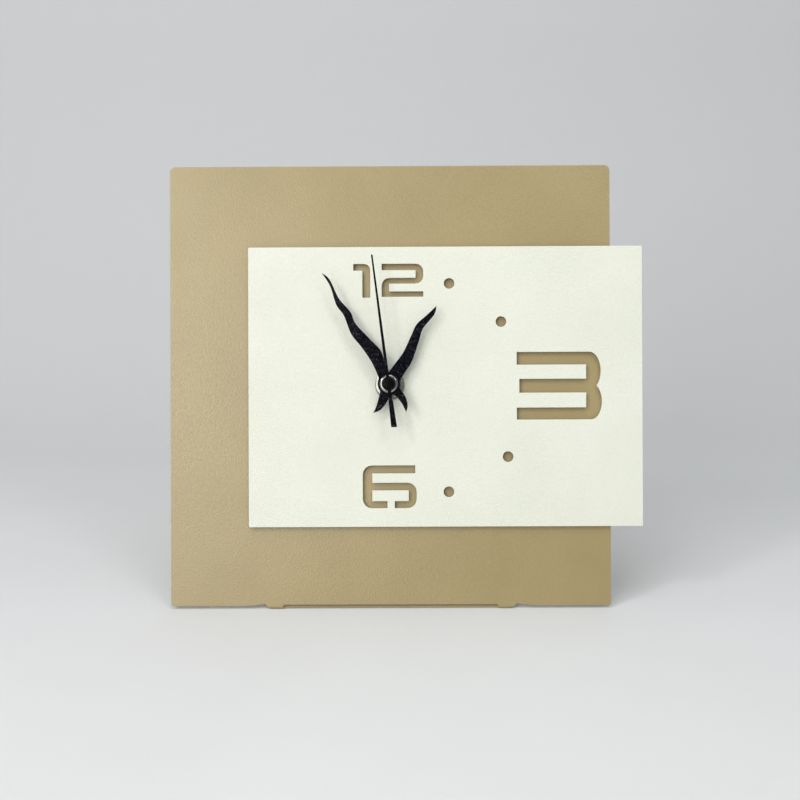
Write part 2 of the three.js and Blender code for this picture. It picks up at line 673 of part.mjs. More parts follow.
// Spool and winding lie along x, so their turned forms are laid over.
function alongX(form, y, depth) {
  return form.rotateY(Math.PI / 2).translate(0, y, depth);
}

addMesh(dial, 'coil_bobbin', cut(
  alongX(turned([
    [0, -9], [BOBBIN_RADIUS, -9], [BOBBIN_RADIUS, -8.2], [1.7, -8.2],
    [1.7, 8.2], [BOBBIN_RADIUS, 8.2], [BOBBIN_RADIUS, 9], [0, 9],
  ]), coilHeight, coilDepth),
  box(-10, 10, coilHeight - 1.1, coilHeight + 1.1, coreBack - TOUCH, coreFront + TOUCH),
), 'whitePlastic');
const winding = alongX(ring(2, BOBBIN_RADIUS - 0.4, -7.9, 7.9), coilHeight, coilDepth);
addMesh(dial, 'coil_winding', winding, 'copper');

// Circuit board with its quartz can and the chip under a drop of epoxy.
const boardBack = centreLevel;
const boardFront = boardBack + 0.8;
const boardLeft = -inside + TOUCH;
const boardRight = boardLeft + 8;
const board = roundedBlock(boardLeft, boardRight, roomBottom + 2.8, 18, 0.5);
addMesh(dial, 'circuit_board', prism(board, boardBack, boardFront), 'board');
const boardMiddle = (boardLeft + boardRight) / 2;
const canDepth = boardFront + TOUCH + 1;
addMesh(dial, 'quartz_crystal', turned([
  [0, 0], [1, 0], [1, 5.8], [0.8, 6], [0, 6],
], 16).rotateX(-Math.PI / 2).translate(boardMiddle, 8, canDepth), 'nickel');
addMesh(dial, 'chip_blob', turned([
  [0, 0.2], [2.6, 0.2], [2.2, 0.8], [1.2, 1.2], [0, 1.3],
], 20).translate(boardMiddle, -1, boardFront), 'epoxy');

// Back cover of the gear room.
addMesh(dial, 'case_rear_cover', cut(
  prism(roundedBlock(-halfCase, halfCase, coverBottom, caseTop, 2), caseBack, coverFront),
  rod(1.5, caseBack - 1, coverFront + 1, knob.x, knob.y, 16),
), 'blackPlastic');

// AA cell lying across the bay, its nub at +x, between a flat contact and a sprung one.
const contactFace = inside - TOUCH - CONTACT_SHEET;
const nubEnd = contactFace - TOUCH;
const cellRight = nubEnd - CELL_NUB;
const cellLeft = cellRight - CELL_LENGTH;
const cellForm = turned([
  [0, cellLeft], [CELL_RADIUS - 0.3, cellLeft], [CELL_RADIUS, cellLeft + 0.3],
  [CELL_RADIUS, cellRight - 0.4], [CELL_RADIUS - 0.4, cellRight], [CELL_NUB_RADIUS, cellRight],
  [CELL_NUB_RADIUS, nubEnd], [0, nubEnd],
]);
addMesh(dial, 'battery_cell', alongX(cellForm, cellHeight, cellDepth), 'cellJacket');

function contactPlate(left, right) {
  return box(left, right, cellHeight - 5, cellHeight + 5, cellDepth - 5, cellDepth + 5);
}

addMesh(dial, 'contact_positive', contactPlate(contactFace, contactFace + CONTACT_SHEET), 'nickel');

// The sprung contact: a conical coil of wire standing on its plate.
class ConicalCoil extends THREE.Curve {
  constructor(start, end, turns) {
    super();
    Object.assign(this, { start, end, turns });
  }

  getPoint(share, target = new THREE.Vector3()) {
    const angle = share * this.turns * 2 * Math.PI;
    const radius = 4.2 - 2 * share;
    const x = this.start + share * (this.end - this.start);
    return target.set(x, cellHeight + radius * Math.cos(angle), cellDepth + radius * Math.sin(angle));
  }
}

const springPlate = -contactFace;
const wireSection = new THREE.Shape().absarc(0, 0, SPRING_WIRE, 0, 2 * Math.PI, false);
const coil = new ConicalCoil(springPlate, cellLeft - TOUCH - SPRING_WIRE, 2);
addMesh(dial, 'contact_negative', join(
  contactPlate(springPlate - CONTACT_SHEET, springPlate),
  new THREE.ExtrudeGeometry(wireSection, { steps: 24, extrudePath: coil, curveSegments: 3 }),
), 'nickel');

// Hands. Each blade is drawn pointing up (y) and then turned to its hour. Its two edges are given
// as [distance sideways, share of the hand's length]; the horn behind the hub is in millimetres.
function waveHand(length, left, tip, right, hornOut, hornTip, hornIn) {
  const vectors = (list) => list.map(([x, y]) => new THREE.Vector2(x, y));
  const edge = (list) => list.map(([x, share]) => new THREE.Vector2(x, share * length));
  const [start, ...leftEdge] = edge([...left, [tip, 1]]);
  const blade = new THREE.Shape();
  blade.moveTo(start.x, start.y);
  blade.splineThru(leftEdge);
  blade.splineThru(edge(right));
  const horn = new THREE.Shape();
  horn.moveTo(...hornOut[0]);
  horn.splineThru(vectors([...hornOut.slice(1), hornTip]));
  horn.splineThru(vectors(hornIn));
  return [blade, horn];
}

function handOn(shapes, bore, back, angle) {
  const front = back + HAND_SHEET;
  const body = join(rod(HAND_HUB, back, front), ...shapes.map((shape) => prism(shape, back, front)));
  return cut(body, rod(bore, back - 1, front + 1)).rotateZ(angle);
}

const hourShapes = waveHand(
  HOUR_LENGTH,
  [[-3.2, 0.049], [-2.3, 0.246], [-1.8, 0.38], [-2.5, 0.577], [-3, 0.713], [-1.2, 0.856]],
  0.5,
  [[1.6, 0.903], [0.4, 0.713], [1.6, 0.579], [3.6, 0.343], [3.4, 0.197], [3.5, 0.049]],
  [[3, -4], [3.1, -8.6], [2.4, -12.1]],
  [0.4, -14.7],
  [[0.1, -11.6], [-1, -7.3], [-2, -4]],
);
const minuteShapes = waveHand(
  MINUTE_LENGTH,
  [
    [-3, 0.034], [-2, 0.134], [-1.6, 0.226], [-2.1, 0.357],
    [-3, 0.478], [-1.6, 0.626], [-2, 0.731], [-0.1, 0.876],
  ],
  -0.3,
  [
    [1.25, 0.922], [0.45, 0.762], [1.8, 0.629], [1.1, 0.531],
    [2.8, 0.386], [4.5, 0.243], [2.4, 0.122], [2, 0.034],
  ],
  [[3.2, -4], [3.4, -8.9], [2.2, -12.7]],
  [0.1, -14.9],
  [[0.5, -11.1], [0.2, -7.6], [-0.8, -4]],
);

const hourCollar = hourPipe + TOUCH;
const hourHand = handOn(hourShapes, hourCollar + 1.1, hourHandBack, HOUR_ANGLE);
addMesh(dial, 'hour_hand', hourHand, 'blackGloss');
const hourBush = ring(hourCollar, hourCollar + 0.8, hourHandBack - 0.4, hourHandBack + 0.8);
addMesh(dial, 'hour_hand_bush', hourBush, 'brass');

const minuteCollar = minutePipe + TOUCH;
const minuteFlange = minuteHandBack + HAND_SHEET + TOUCH;
const minuteHand = handOn(minuteShapes, minuteCollar + 1.1, minuteHandBack, MINUTE_ANGLE);
addMesh(dial, 'minute_hand', minuteHand, 'blackGloss');
addMesh(dial, 'minute_hand_bush', turned([
  [minuteCollar + 0.8, minuteHandBack - 0.4], [minuteCollar + 0.8, minuteFlange], [4.1, minuteFlange],
  [4.1, minuteFlange + 0.3], [3.7, minuteFlange + 0.6], [minuteCollar, minuteFlange + 0.6],
  [minuteCollar, minuteHandBack - 0.4], [minuteCollar + 0.8, minuteHandBack - 0.4],
]), 'nickel');

const secondFront = secondHandBack + TOUCH;
const capStem = playRadius + 0.8;
const needle = outline([[-0.55, 0], [-0.35, SECOND_LENGTH], [0.35, SECOND_LENGTH], [0.55, 0]].reverse());
const weight = outline([[-0.55, 0], [-0.55, -7.2], [-1, -7.8], [-1.3, -19.7], [1.3, -19.7], [1, -7.8],
  [0.55, -7.2], [0.55, 0]]);
addMesh(dial, 'second_hand', cut(
  join(
    rod(2.4, secondHandBack, secondFront),
    prism(needle, secondHandBack, secondFront),
    prism(weight, secondHandBack, secondFront),
  ),
  rod(capStem + 0.2, secondHandBack - 1, secondFront + 1, 0, 0, 20),
).rotateZ(SECOND_ANGLE), 'blackGloss');

const capBack = secondFront + TOUCH;
addMesh(dial, 'second_hand_cap', turned([
  [0, arborFront + TOUCH], [playRadius, arborFront + TOUCH], [playRadius, minutePipeEnd + TOUCH],
  [capStem, minutePipeEnd + TOUCH], [capStem, capBack], [CAP_RADIUS, capBack],
  [CAP_RADIUS, capBack + 0.8], [CAP_RADIUS - 0.5, capBack + 1.15], [0, capBack + 1.35],
]), 'blackGloss');

export default clock;
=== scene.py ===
import json
import math

import bmesh
import bpy
from mathutils import Euler, Matrix, Vector
from mathutils.geometry import tessellate_polygon


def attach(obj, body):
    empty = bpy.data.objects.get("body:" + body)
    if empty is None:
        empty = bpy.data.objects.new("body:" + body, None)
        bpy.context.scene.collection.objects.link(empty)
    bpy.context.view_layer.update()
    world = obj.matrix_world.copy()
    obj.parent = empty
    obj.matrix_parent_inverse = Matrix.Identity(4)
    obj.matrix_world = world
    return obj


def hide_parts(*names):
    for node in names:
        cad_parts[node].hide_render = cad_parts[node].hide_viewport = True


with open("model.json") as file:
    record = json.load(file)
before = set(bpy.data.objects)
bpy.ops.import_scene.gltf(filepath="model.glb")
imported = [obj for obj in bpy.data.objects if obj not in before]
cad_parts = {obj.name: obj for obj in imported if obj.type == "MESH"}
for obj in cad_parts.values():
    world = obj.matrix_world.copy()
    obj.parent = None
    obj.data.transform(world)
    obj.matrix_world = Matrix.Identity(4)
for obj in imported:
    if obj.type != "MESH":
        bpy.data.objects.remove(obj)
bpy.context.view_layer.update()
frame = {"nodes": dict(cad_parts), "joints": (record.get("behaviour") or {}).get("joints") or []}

# Camera. It stands higher than the hands and a little to their right, and looks down by about as
# much as the plates lean back, so that their edges stay square to its frame.
camera_data = bpy.data.cameras.new("camera")
camera = bpy.data.objects.new("camera", camera_data)
bpy.context.scene.collection.objects.link(camera)
bpy.context.scene.camera = camera
camera_data.sensor_width = 36.0
camera_data.lens = 43.7
camera_data.shift_x = -0.0692
camera_data.shift_y = 0.1058
camera.location = (0.0318, -0.4409, 0.1674)
tilt = Euler((math.radians(-14.821), math.radians(0.228), math.radians(0.243)), "ZXY")
look_along_y = Matrix(((1, 0, 0), (0, 0, -1), (0, 1, 0)))
camera.rotation_euler = (tilt.to_matrix() @ look_along_y).to_euler()
camera_data.clip_start = 0.01

# Back plate. One laser-cut steel sheet, 1 mm thick, with a satin sand-coloured powder coat.
# The foot is bent back from its bottom edge at two narrow bridges, with a slot between them.


def joint_named(name):
    """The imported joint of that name."""
    return next(joint for joint in frame["joints"] if joint["name"] == name)


minute_joint = joint_named("minute_turn")
hub = Vector(minute_joint["pos_m"])
outward = -Vector(minute_joint["axis"])
sideways = Vector((1, 0, 0))
upward = outward.cross(sideways)
turned_to_dial = Matrix((sideways, upward, outward)).transposed().to_4x4()
clock_axes = Matrix.Translation(hub) @ turned_to_dial @ Matrix.Scale(0.001, 4)
lean = math.atan2(upward.y, upward.z)

SHEET = 1.0
PLATE_CORNER = 2.5
LOWER_CORNER = 1.2
HUB_HOLE = 4.3
COAT_EDGE = 0.22  # how round the powder coat makes the sheet's edges
BEND_INSIDE = 0.2
BEND_OUTSIDE = BEND_INSIDE + SHEET
BRIDGE_WIDTH = 7.5
FOOT_WIDTH = 113.0
FOOT_DEPTH = 55.0
FOOT_CORNER = 6.0
NECK = 1.6  # how far each bridge is waisted beside its relief cut
RELIEF_LENGTH = 9.0  # how far the cut beside each bridge runs along the plate's edge
RELIEF_RISE = 0.9
SLOT_RISE = 0.6
SLOT_CORNER = 0.9


def span(node):
    """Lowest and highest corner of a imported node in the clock's own axes, in millimetres."""
    back_to_clock = clock_axes.inverted()
    corners = [back_to_clock @ vertex.co for vertex in frame["nodes"][node].data.vertices]
    low = Vector([min(corner[axis] for corner in corners) for axis in range(3)])
    high = Vector([max(corner[axis] for corner in corners) for axis in range(3)])
    return low, high


def rounded(corners, steps=6):
    """Points round an outline; a corner (x, y, radius) becomes an arc."""
    points = []
    for index, (x, y, *radius) in enumerate(corners):
        corner = Vector((x, y))
        if not radius:
            points.append(corner)
            continue
        before = (Vector(corners[index - 1][:2]) - corner).normalized()
        after = (Vector(corners[(index + 1) % len(corners)][:2]) - corner).normalized()
        half = before.angle(after) / 2
        middle = corner + (before + after).normalized() * radius[0] / math.sin(half)
        start = corner + before * radius[0] / math.tan(half) - middle
        end = corner + after * radius[0] / math.tan(half) - middle
        swing = math.atan2(start.cross(end), start.dot(end))
        points += [middle + Matrix.Rotation(swing * step / steps, 2) @ start for step in range(steps + 1)]
    return points


def circle(radius, x=0.0, y=0.0, steps=64):
    """Points round a circle."""
    turns = [2 * math.pi / steps * step for step in range(steps)]
    return [Vector((x + radius * math.cos(turn), y + radius * math.sin(turn))) for turn in turns]


def inset(points, distance):
    """The outline moved to its left by a distance, with long mitres cut short."""
    moved = []
    for index, point in enumerate(points):
        arriving = (point - points[index - 1]).normalized()
        leaving = (points[(index + 1) % len(points)] - point).normalized()
        first = Vector((-arriving.y, arriving.x))
        second = Vector((-leaving.y, leaving.x))
        middle = (first + second).normalized()
        moved.append(point + middle * distance / max(middle.dot(first), 0.35))
    return moved


def join_rows(form, rows):
    """Adds the faces between each closed row of corners and the next."""
    for lower, upper in zip(rows, rows[1:]):
        for index in range(len(lower)):
            form.faces.new((lower[index - 1], lower[index], upper[index], upper[index - 1]))


def sheet_piece(outlines, back, front, edge, steps=3):
    """A flat piece between two depths: the outside first, then the holes, with rounded edges."""
    rows = []
    for step in range(steps + 1):
        angle = math.pi / 2 * step / steps
        rows.append((edge * (1 - math.sin(angle)), back + edge * (1 - math.cos(angle))))
    for step in range(steps + 1):
        angle = math.pi / 2 * step / steps
        rows.append((edge * (1 - math.cos(angle)), front - edge * (1 - math.sin(angle))))
    piece = bmesh.new()
    first_row, last_row, outline_rows = [], [], []
    for number, points in enumerate(outlines):
        area = sum(point.cross(points[index - 1]) for index, point in enumerate(points))
        runs_right = area < 0
        if runs_right == (number > 0):
            points = points[::-1]
        grid = [
            [piece.verts.new((*point, depth)) for point in inset(points, distance)]
            for distance, depth in rows
        ]
        join_rows(piece, grid)
        first_row += grid[0]
        last_row += grid[-1]
        outline_rows.append([vertex.co for vertex in grid[0]])
    for a, b, c in tessellate_polygon(outline_rows):
        piece.faces.new((first_row[a], first_row[b], first_row[c]))
        piece.faces.new((last_row[a], last_row[c], last_row[b]))
    return piece


def make_piece(name, form, body, finish, stands_for=(), place=Matrix(), sharp=38):
    """Turns a form into a piece of the clock, on its body and in its finish."""
    bmesh.ops.recalc_face_normals(form, faces=form.faces)
    form.transform(clock_axes @ place)
    mesh = bpy.data.meshes.new(name)
    form.to_mesh(mesh)
    form.free()
    mesh.polygons.foreach_set("use_smooth", [True] * len(mesh.polygons))
    mesh.set_sharp_from_angle(angle=math.radians(sharp))
    mesh.materials.append(finish)
    piece = bpy.data.objects.new(name, mesh)
    bpy.context.scene.collection.objects.link(piece)
    flatten = piece.modifiers.new("flat_faces", "WEIGHTED_NORMAL")
    flatten.keep_sharp = True
    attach(piece, body)
    if stands_for:
        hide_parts(*stands_for)
    return piece


class Finish:
    """A finish being mixed: its shader, and patterns laid through the piece in metres."""

    def __init__(self, name, metallic=0.0):
        self.material = bpy.data.materials.new(name)
        self.material.use_nodes = True
        self.tree = self.material.node_tree
        self.shader = self.tree.nodes["Principled BSDF"]
        self.shader.inputs["Metallic"].default_value = metallic
        self.place = self.node("ShaderNodeTexCoord").outputs["Object"]
        self.relief = None

    def node(self, kind, **settings):
        made = self.tree.nodes.new(kind)
        for setting, value in settings.items():
            setattr(made, setting, value)
        return made

    def feed(self, source, target):
        self.tree.links.new(source, target)

    def stretched(self, size, stretch=(1, 1, 1)):
        """Coordinates in which a pattern's unit is a size in metres, times a stretch per axis."""
        mapping = self.node("ShaderNodeMapping")
        mapping.inputs["Rotation"].default_value = (lean, 0, 0)
        mapping.inputs["Scale"].default_value = [1 / (size * share) for share in stretch]
        self.feed(self.place, mapping.inputs["Vector"])
        return mapping.outputs["Vector"]

    def grain(self, size, detail=3.0, stretch=(1, 1, 1)):
        """Soft noise with grains of about that size."""
        noise = self.node("ShaderNodeTexNoise")
        noise.inputs["Scale"].default_value = 1.0
        noise.inputs["Detail"].default_value = detail
        self.feed(self.stretched(size, stretch), noise.inputs["Vector"])
        return noise.outputs["Fac"]

    def pebbles(self, size):
        """Round cells of about that size, for cast, moulded and sprayed surfaces."""
        cells = self.node("ShaderNodeTexVoronoi", feature="SMOOTH_F1")
        cells.inputs["Scale"].default_value = 1.0
        cells.inputs["Smoothness"].default_value = 0.6
        self.feed(self.stretched(size), cells.inputs["Vector"])
        return cells.outputs["Distance"]

    def between(self, value, low, high, start=0.3, end=0.7):
        """A pattern's values from start to end, spread from low to high."""
        spread = self.node("ShaderNodeMapRange")
        self.feed(value, spread.inputs["Value"])
        for socket, number in (("From Min", start), ("From Max", end), ("To Min", low), ("To Max", high)):
            spread.inputs[socket].default_value = number
        return spread.outputs["Result"]

    def clouds(self, size, detail=3.0, stretch=(1, 1, 1)):
        """Soft patches of about that size, from 0 to 1."""
        return self.between(self.grain(size, detail, stretch), 0, 1)

    def tint(self, share, first, second):
        """A colour that goes from first to second; either may be another pattern's colour."""
        mix = self.node("ShaderNodeMix", data_type="RGBA")
        self.feed(share, mix.inputs["Factor"])
        for socket, colour in (("A", first), ("B", second)):
            target = next(s for s in mix.inputs if s.name == socket and s.type == "RGBA")
            if isinstance(colour, bpy.types.NodeSocket):
                self.feed(colour, target)
            else:
                target.default_value = (*colour, 1)
        return next(s for s in mix.outputs if s.type == "RGBA")

    def worn_edges(self, width, amount):
        """From 0 on flat faces to amount along edges, where handling rubs the surface."""
        soft = self.node("ShaderNodeBevel", samples=4)
        soft.inputs["Radius"].default_value = width
        true = self.node("ShaderNodeNewGeometry")
        match = self.node("ShaderNodeVectorMath", operation="DOT_PRODUCT")
        self.feed(soft.outputs["Normal"], match.inputs[0])
        self.feed(true.outputs["Normal"], match.inputs[1])
        return self.between(match.outputs["Value"], amount, 0.0, 0.90, 0.998)

    def colour(self, colour):
        self.feed(colour, self.shader.inputs["Base Color"])

    def roughness(self, value):
        self.feed(value, self.shader.inputs["Roughness"])

    def bump(self, height, depth):
        """Adds a relief of that depth, in metres, to what is there already."""
        bump = self.node("ShaderNodeBump")
        bump.inputs["Distance"].default_value = depth
        self.feed(height, bump.inputs["Height"])
        if self.relief is not None:
            self.feed(self.relief, bump.inputs["Normal"])
        self.relief = bump.outputs["Normal"]
        self.feed(self.relief, self.shader.inputs["Normal"])


def powder_coat(name, light, dark, rub, roughness, sheen, grain, depth):
    """Baked powder coat: cloudy in colour, pebbled like orange peel, thinner along the edges."""
    coat = Finish(name)
    clouds = coat.clouds(0.035, 2)
    specks = coat.between(coat.grain(grain * 0.7, 2), 0, 0.35)
    base = coat.tint(specks, coat.tint(clouds, light, dark), dark)
    coat.colour(coat.tint(coat.worn_edges(0.0004, 0.7), base, rub))
    coat.roughness(coat.between(coat.grain(grain * 2, 3), roughness - 0.07, roughness + 0.07))
    coat.bump(coat.pebbles(grain), depth)
    coat.bump(coat.grain(grain * 0.45, 2), depth * 0.6)
    coat.bump(coat.grain(0.012, 1), 0.00004)
    coat.shader.inputs["Specular IOR Level"].default_value = sheen
    return coat.material


sand_coat = powder_coat(
    "sand_coat",
    light=(0.362, 0.279, 0.117),
    dark=(0.325, 0.249, 0.101),
    rub=(0.50, 0.42, 0.24),
    roughness=0.38,
    sheen=1.0,
    grain=0.0007,
    depth=0.00006,
)


def bent(point):
    """Bends the flat sheet pattern: what lies below the plate's edge goes round and back."""
    low_edge = -half_plate
    along = low_edge - point.y
    if along <= 0:
        return point
    bend = math.pi / 2 + lean
    angle = min(along / BEND_OUTSIDE, bend)
    radius = BEND_OUTSIDE + point.z
    straight = along - angle * BEND_OUTSIDE
    out = math.cos(angle) * radius - math.sin(angle) * straight
    down = math.sin(angle) * radius + math.cos(angle) * straight
    return Vector((point.x, low_edge - down, out - BEND_OUTSIDE))


def bridge_side(side, arc):
    """The outline past one bridge, from the plate's bottom edge down to the foot's side."""
    outer = side * FOOT_WIDTH / 2
    edge = -half_plate
    return [
        (outer + side * RELIEF_LENGTH, edge),
        (outer + side * 0.6, edge + RELIEF_RISE, 0.3),
        (outer - side * NECK, edge - arc * 0.75, 0.8),
        (outer - side * NECK, edge - arc - 0.4, 0.4),
        (outer, edge - arc - 2.4, 1.0),
    ]


def back_sheet():
    """The plate and its foot, cut flat in one sheet and then bent."""
    arc = BEND_OUTSIDE * (math.pi / 2 + lean)
    heel = -half_plate - arc - FOOT_DEPTH
    half_foot = FOOT_WIDTH / 2
    outside = [
        (-half_plate, half_plate, PLATE_CORNER),
        (-half_plate, -half_plate, LOWER_CORNER),
        *bridge_side(-1, arc),
        (-half_foot, heel, FOOT_CORNER),
        (half_foot, heel, FOOT_CORNER),
        *reversed(bridge_side(1, arc)),
        (half_plate, -half_plate, LOWER_CORNER),
        (half_plate, half_plate, PLATE_CORNER),
    ]
    half_slot = half_foot - BRIDGE_WIDTH
    slot_top = -half_plate + SLOT_RISE
    slot_foot = -half_plate - arc
    slot = [
        (-half_slot, slot_top, SLOT_CORNER),
        (half_slot, slot_top, SLOT_CORNER),
        (half_slot, slot_foot, SLOT_CORNER),
        (-half_slot, slot_foot, SLOT_CORNER),
    ]
    form = sheet_piece([rounded(outside), rounded(slot), circle(HUB_HOLE)], -SHEET, 0.0, COAT_EDGE)
    bend_rows = 10
    for row in range(bend_rows + 1):
        height = -half_plate - arc * row / bend_rows
        everything = form.verts[:] + form.edges[:] + form.faces[:]
        bmesh.ops.bisect_plane(form, geom=everything, plane_co=(0, height, 0), plane_no=(0, 1, 0))
    for vertex in form.verts:
        vertex.co = bent(vertex.co)
    return form


half_plate = span("back_plate")[1].x
make_piece("back_plate_sheet", back_sheet(), "stand", sand_coat, ["back_plate"])

# Dial plate. A second laser-cut sheet in finely textured off-white powder coat. The numbers
# 12, 3 and 6 and four round hour marks are cut right through, so the back plate shows in them.
white_coat = powder_coat(
    "white_coat",
    light=(0.775, 0.795, 0.69),
    dark=(0.735, 0.755, 0.645),
    rub=(0.86, 0.875, 0.78),
    roughness=0.58,
    sheen=0.4,
    grain=0.00065,
    depth=0.00016,
)
dial_low, dial_high = span("front_plate")
TWELVE_MARGIN = 7.65
SIX_MARGIN = 8.45
THREE_MARGIN = 18.3
DIAL_CORNER = 0.6
DOT_RADIUS = 2.4
DOT_PLACES = {"one": (27, 46), "two": (50.4, 28.6), "four": (53.4, -32.5), "five": (26.6, -48.3)}
CUT_EDGE = 0.16


def number_one(top):
    stroke = 3.03
    return [
        (-16.35, top), (-8.7, top, 2.85), (-8.7, top - 15.3), (-12.25, top - 15.3),
        (-12.25, top - stroke), (-16.35, top - stroke),
    ]


def number_two(top):
    turn = 3.44
    middle = top - 6.38
    foot = top - 14.98
    return [
        (-3.5, top), (15.32, top, turn), (15.32, middle - 2.62, turn), (-0.15, middle - 2.62),
        (-0.15, foot + 2.45), (15.32, foot + 2.45), (15.32, foot), (-3.5, foot),
        (-3.5, middle, turn), (11.88, middle), (11.88, top - 2.9), (-3.5, top - 2.9),
    ]


def number_six(bottom):
    turn = 4.07
    top = bottom + 19.32
    waist = bottom + 11.45
    return [
        (-1.2, bottom), (-12.37, bottom, turn), (-12.37, top, turn), (11.4, top),
        (11.4, top - 3.57), (-8.07, top - 3.57), (-8.07, waist), (12, waist, turn),
        (12, bottom, turn), (2.1, bottom), (2.1, bottom + 3.17), (8.43, bottom + 3.17),
        (8.43, waist - 3.39), (-8.07, waist - 3.39), (-8.07, bottom + 3.17), (-1.2, bottom + 3.17),
    ]


def bowl(x, y, wide, high, start, end, steps=12):
    """Part of an ellipse, for the two rounded sides of the 3."""
    turns = [start + (end - start) * step / steps for step in range(steps + 1)]
    return [(x + wide * math.cos(turn), y + high * math.sin(turn)) for turn in turns]


def number_three(right):
    left = right - 38.46
    inner = right - 7.1
    return [
        (left, 14.8),
        *bowl(right - 5.56, 6.2, 5.06, 8.6, math.pi / 2, -0.893),
        *bowl(right - 4.8, -7.6, 4.8, 8.19, 1.049, -math.pi / 2),
        (left, -15.79), (left, -10.36), (inner, -10.36), (inner, -3.62), (left + 1.18, -3.62),
        (left + 1.18, 2.62), (inner, 2.62), (inner, 9.05), (left, 9.05),
    ]


def soft_cornered(corners, radius=0.18):
    """The beam leaves a small radius in every corner that has none of its own."""
    return rounded([corner if len(corner) == 3 else (*corner, radius) for corner in corners], 4)


def oblong(low, high, radius):
    """The corners of an oblong between two points, each with that radius."""
    corners = ((low.x, low.y), (high.x, low.y), (high.x, high.y), (low.x, high.y))
    return [(x, y, radius) for x, y in corners]


dial_cuts = [
    rounded(oblong(dial_low, dial_high, DIAL_CORNER)),
    circle(HUB_HOLE),
    soft_cornered(number_one(dial_high.y - TWELVE_MARGIN)),
    soft_cornered(number_two(dial_high.y - TWELVE_MARGIN)),
    rounded(number_three(dial_high.x - THREE_MARGIN)),
    soft_cornered(number_six(dial_low.y + SIX_MARGIN)),
    *[circle(DOT_RADIUS, x, y, 40) for x, y in DOT_PLACES.values()],
]
dial_form = sheet_piece(dial_cuts, dial_low.z, dial_high.z, CUT_EDGE)
make_piece("dial_plate_sheet", dial_form, "stand", white_coat, ["front_plate"])

# Foam pads. Four squares of closed-cell foam tape that stick the dial plate to the back plate.
# Pressed between the plates, their cut sides bulge a little.
PAD_CORNER = 1.0
PAD_BULGE = 0.35
foam = Finish("foam")
foam_cells = foam.pebbles(0.0003)
foam.colour(foam.tint(foam.clouds(0.004), (0.62, 0.62, 0.58), (0.50, 0.50, 0.46)))
foam.roughness(foam.between(foam_cells, 0.85, 1.0))
foam.bump(foam_cells, 0.00012)


def pressed_pad(low, high):
    """A square of tape whose sides stand out halfway between the plates."""
    levels = 8
    pad = bmesh.new()
    rows = []
    outline = rounded(oblong(low, high, PAD_CORNER))
    for level in range(levels + 1):
        share = level / levels
        pulled_in = PAD_BULGE * (2 * share - 1) ** 2
        depth = low.z + (high.z - low.z) * share
        rows.append([pad.verts.new((*point, depth)) for point in inset(outline, pulled_in)])
    join_rows(pad, rows)
    pad.faces.new(rows[0][::-1])
    pad.faces.new(rows[-1])
    return pad


for number in range(1, 5):
    pad_low, pad_high = span(f"foam_pad_{number}")
    pad_form = pressed_pad(pad_low, pad_high)
    tape = make_piece(f"foam_tape_{number}", pad_form, "stand", foam.material, [f"foam_pad_{number}"])

# Clamp. The movement's threaded brass bush comes through both plates, with a rubber washer
# behind them and a nickel-plated washer and round nut in front.


def turned(profile, sides=72, waviness=None):
    """A turned form from (radius, depth) points; waviness(angle, radius, depth) gives the radius."""
    form = bmesh.new()
    rings = []
    for radius, depth in profile:
        if radius < 1e-6:
            rings.append([form.verts.new((0, 0, depth))])
            continue
        ring = []
        for side in range(sides):
            angle = 2 * math.pi * side / sides
            reach = waviness(angle, radius, depth) if waviness else radius
            ring.append(form.verts.new((reach * math.cos(angle), reach * math.sin(angle), depth)))
        rings.append(ring)
    closed = len(rings[0]) > 1
    pairs = list(zip(rings, rings[1:] + rings[:1])) if closed else list(zip(rings, rings[1:]))
    for lower, upper in pairs:
        for side in range(sides):
            ring_points = [lower[side % len(lower)], lower[(side + 1) % sides % len(lower)]]
            ring_points += [upper[(side + 1) % sides % len(upper)], upper[side % len(upper)]]
            face = list(dict.fromkeys(ring_points))
            if len(face) > 2:
                form.faces.new(face)
    return form


def profile_of(corners, steps=4):
    """A turned piece's profile with its corners rounded."""
    return [tuple(point) for point in rounded(corners, steps)]


def ring_profile(inner, outer, back, front, edge):
    """The section of a washer or ring."""
    return profile_of([(outer, back, edge), (outer, front, edge), (inner, front, edge), (inner, back, edge)])


def plated(name, light, dark, roughness, brushed=(1, 1, 1), grain=0.0006):
    """Bare or plated metal with fine tool marks, dull patches and brighter edges."""
    metal = Finish(name, metallic=1.0)
    patches = metal.clouds(0.004)
    rubbed = metal.worn_edges(0.0003, 0.6)
    metal.colour(metal.tint(rubbed, metal.tint(patches, light, dark), [min(1, c * 1.25) for c in light]))
    metal.roughness(metal.between(metal.grain(grain, 4, brushed), roughness * 0.7, roughness * 1.4))
    metal.bump(metal.grain(grain * 0.5, 3, brushed), 0.000008)
    return metal.material


# Nickel is painted darker and greener than the bare metal: a painted reflection of dark surroundings and of
# the pale plates nearby.
nickel = plated("nickel", (0.33, 0.34, 0.29), (0.22, 0.23, 0.19), 0.24)
brass = plated("brass", (0.62, 0.44, 0.16), (0.50, 0.34, 0.11), 0.26)
rubber = Finish("rubber")
rubber.colour(rubber.tint(rubber.clouds(0.003), (0.02, 0.02, 0.02), (0.045, 0.043, 0.04)))
rubber.roughness(rubber.between(rubber.grain(0.0008), 0.75, 0.95))
rubber.bump(rubber.grain(0.0002, 2), 0.00003)

rubber_low, rubber_high = span("rubber_washer")
rubber_form = turned(ring_profile(HUB_HOLE + 0.1, rubber_high.x, rubber_low.z, rubber_high.z, 0.3))
make_piece("rubber_gasket", rubber_form, "stand", rubber.material, ["rubber_washer"])

THREAD_PITCH = 0.75
THREAD_DEPTH = 0.35
THREAD_START = 1.2  # in front of the back of the flange
BUSH_RADIUS = 4.0
BUSH_BORE = 3.0
BUSH_FLANGE = 1.0
bush_low, bush_high = span("threaded_bush")


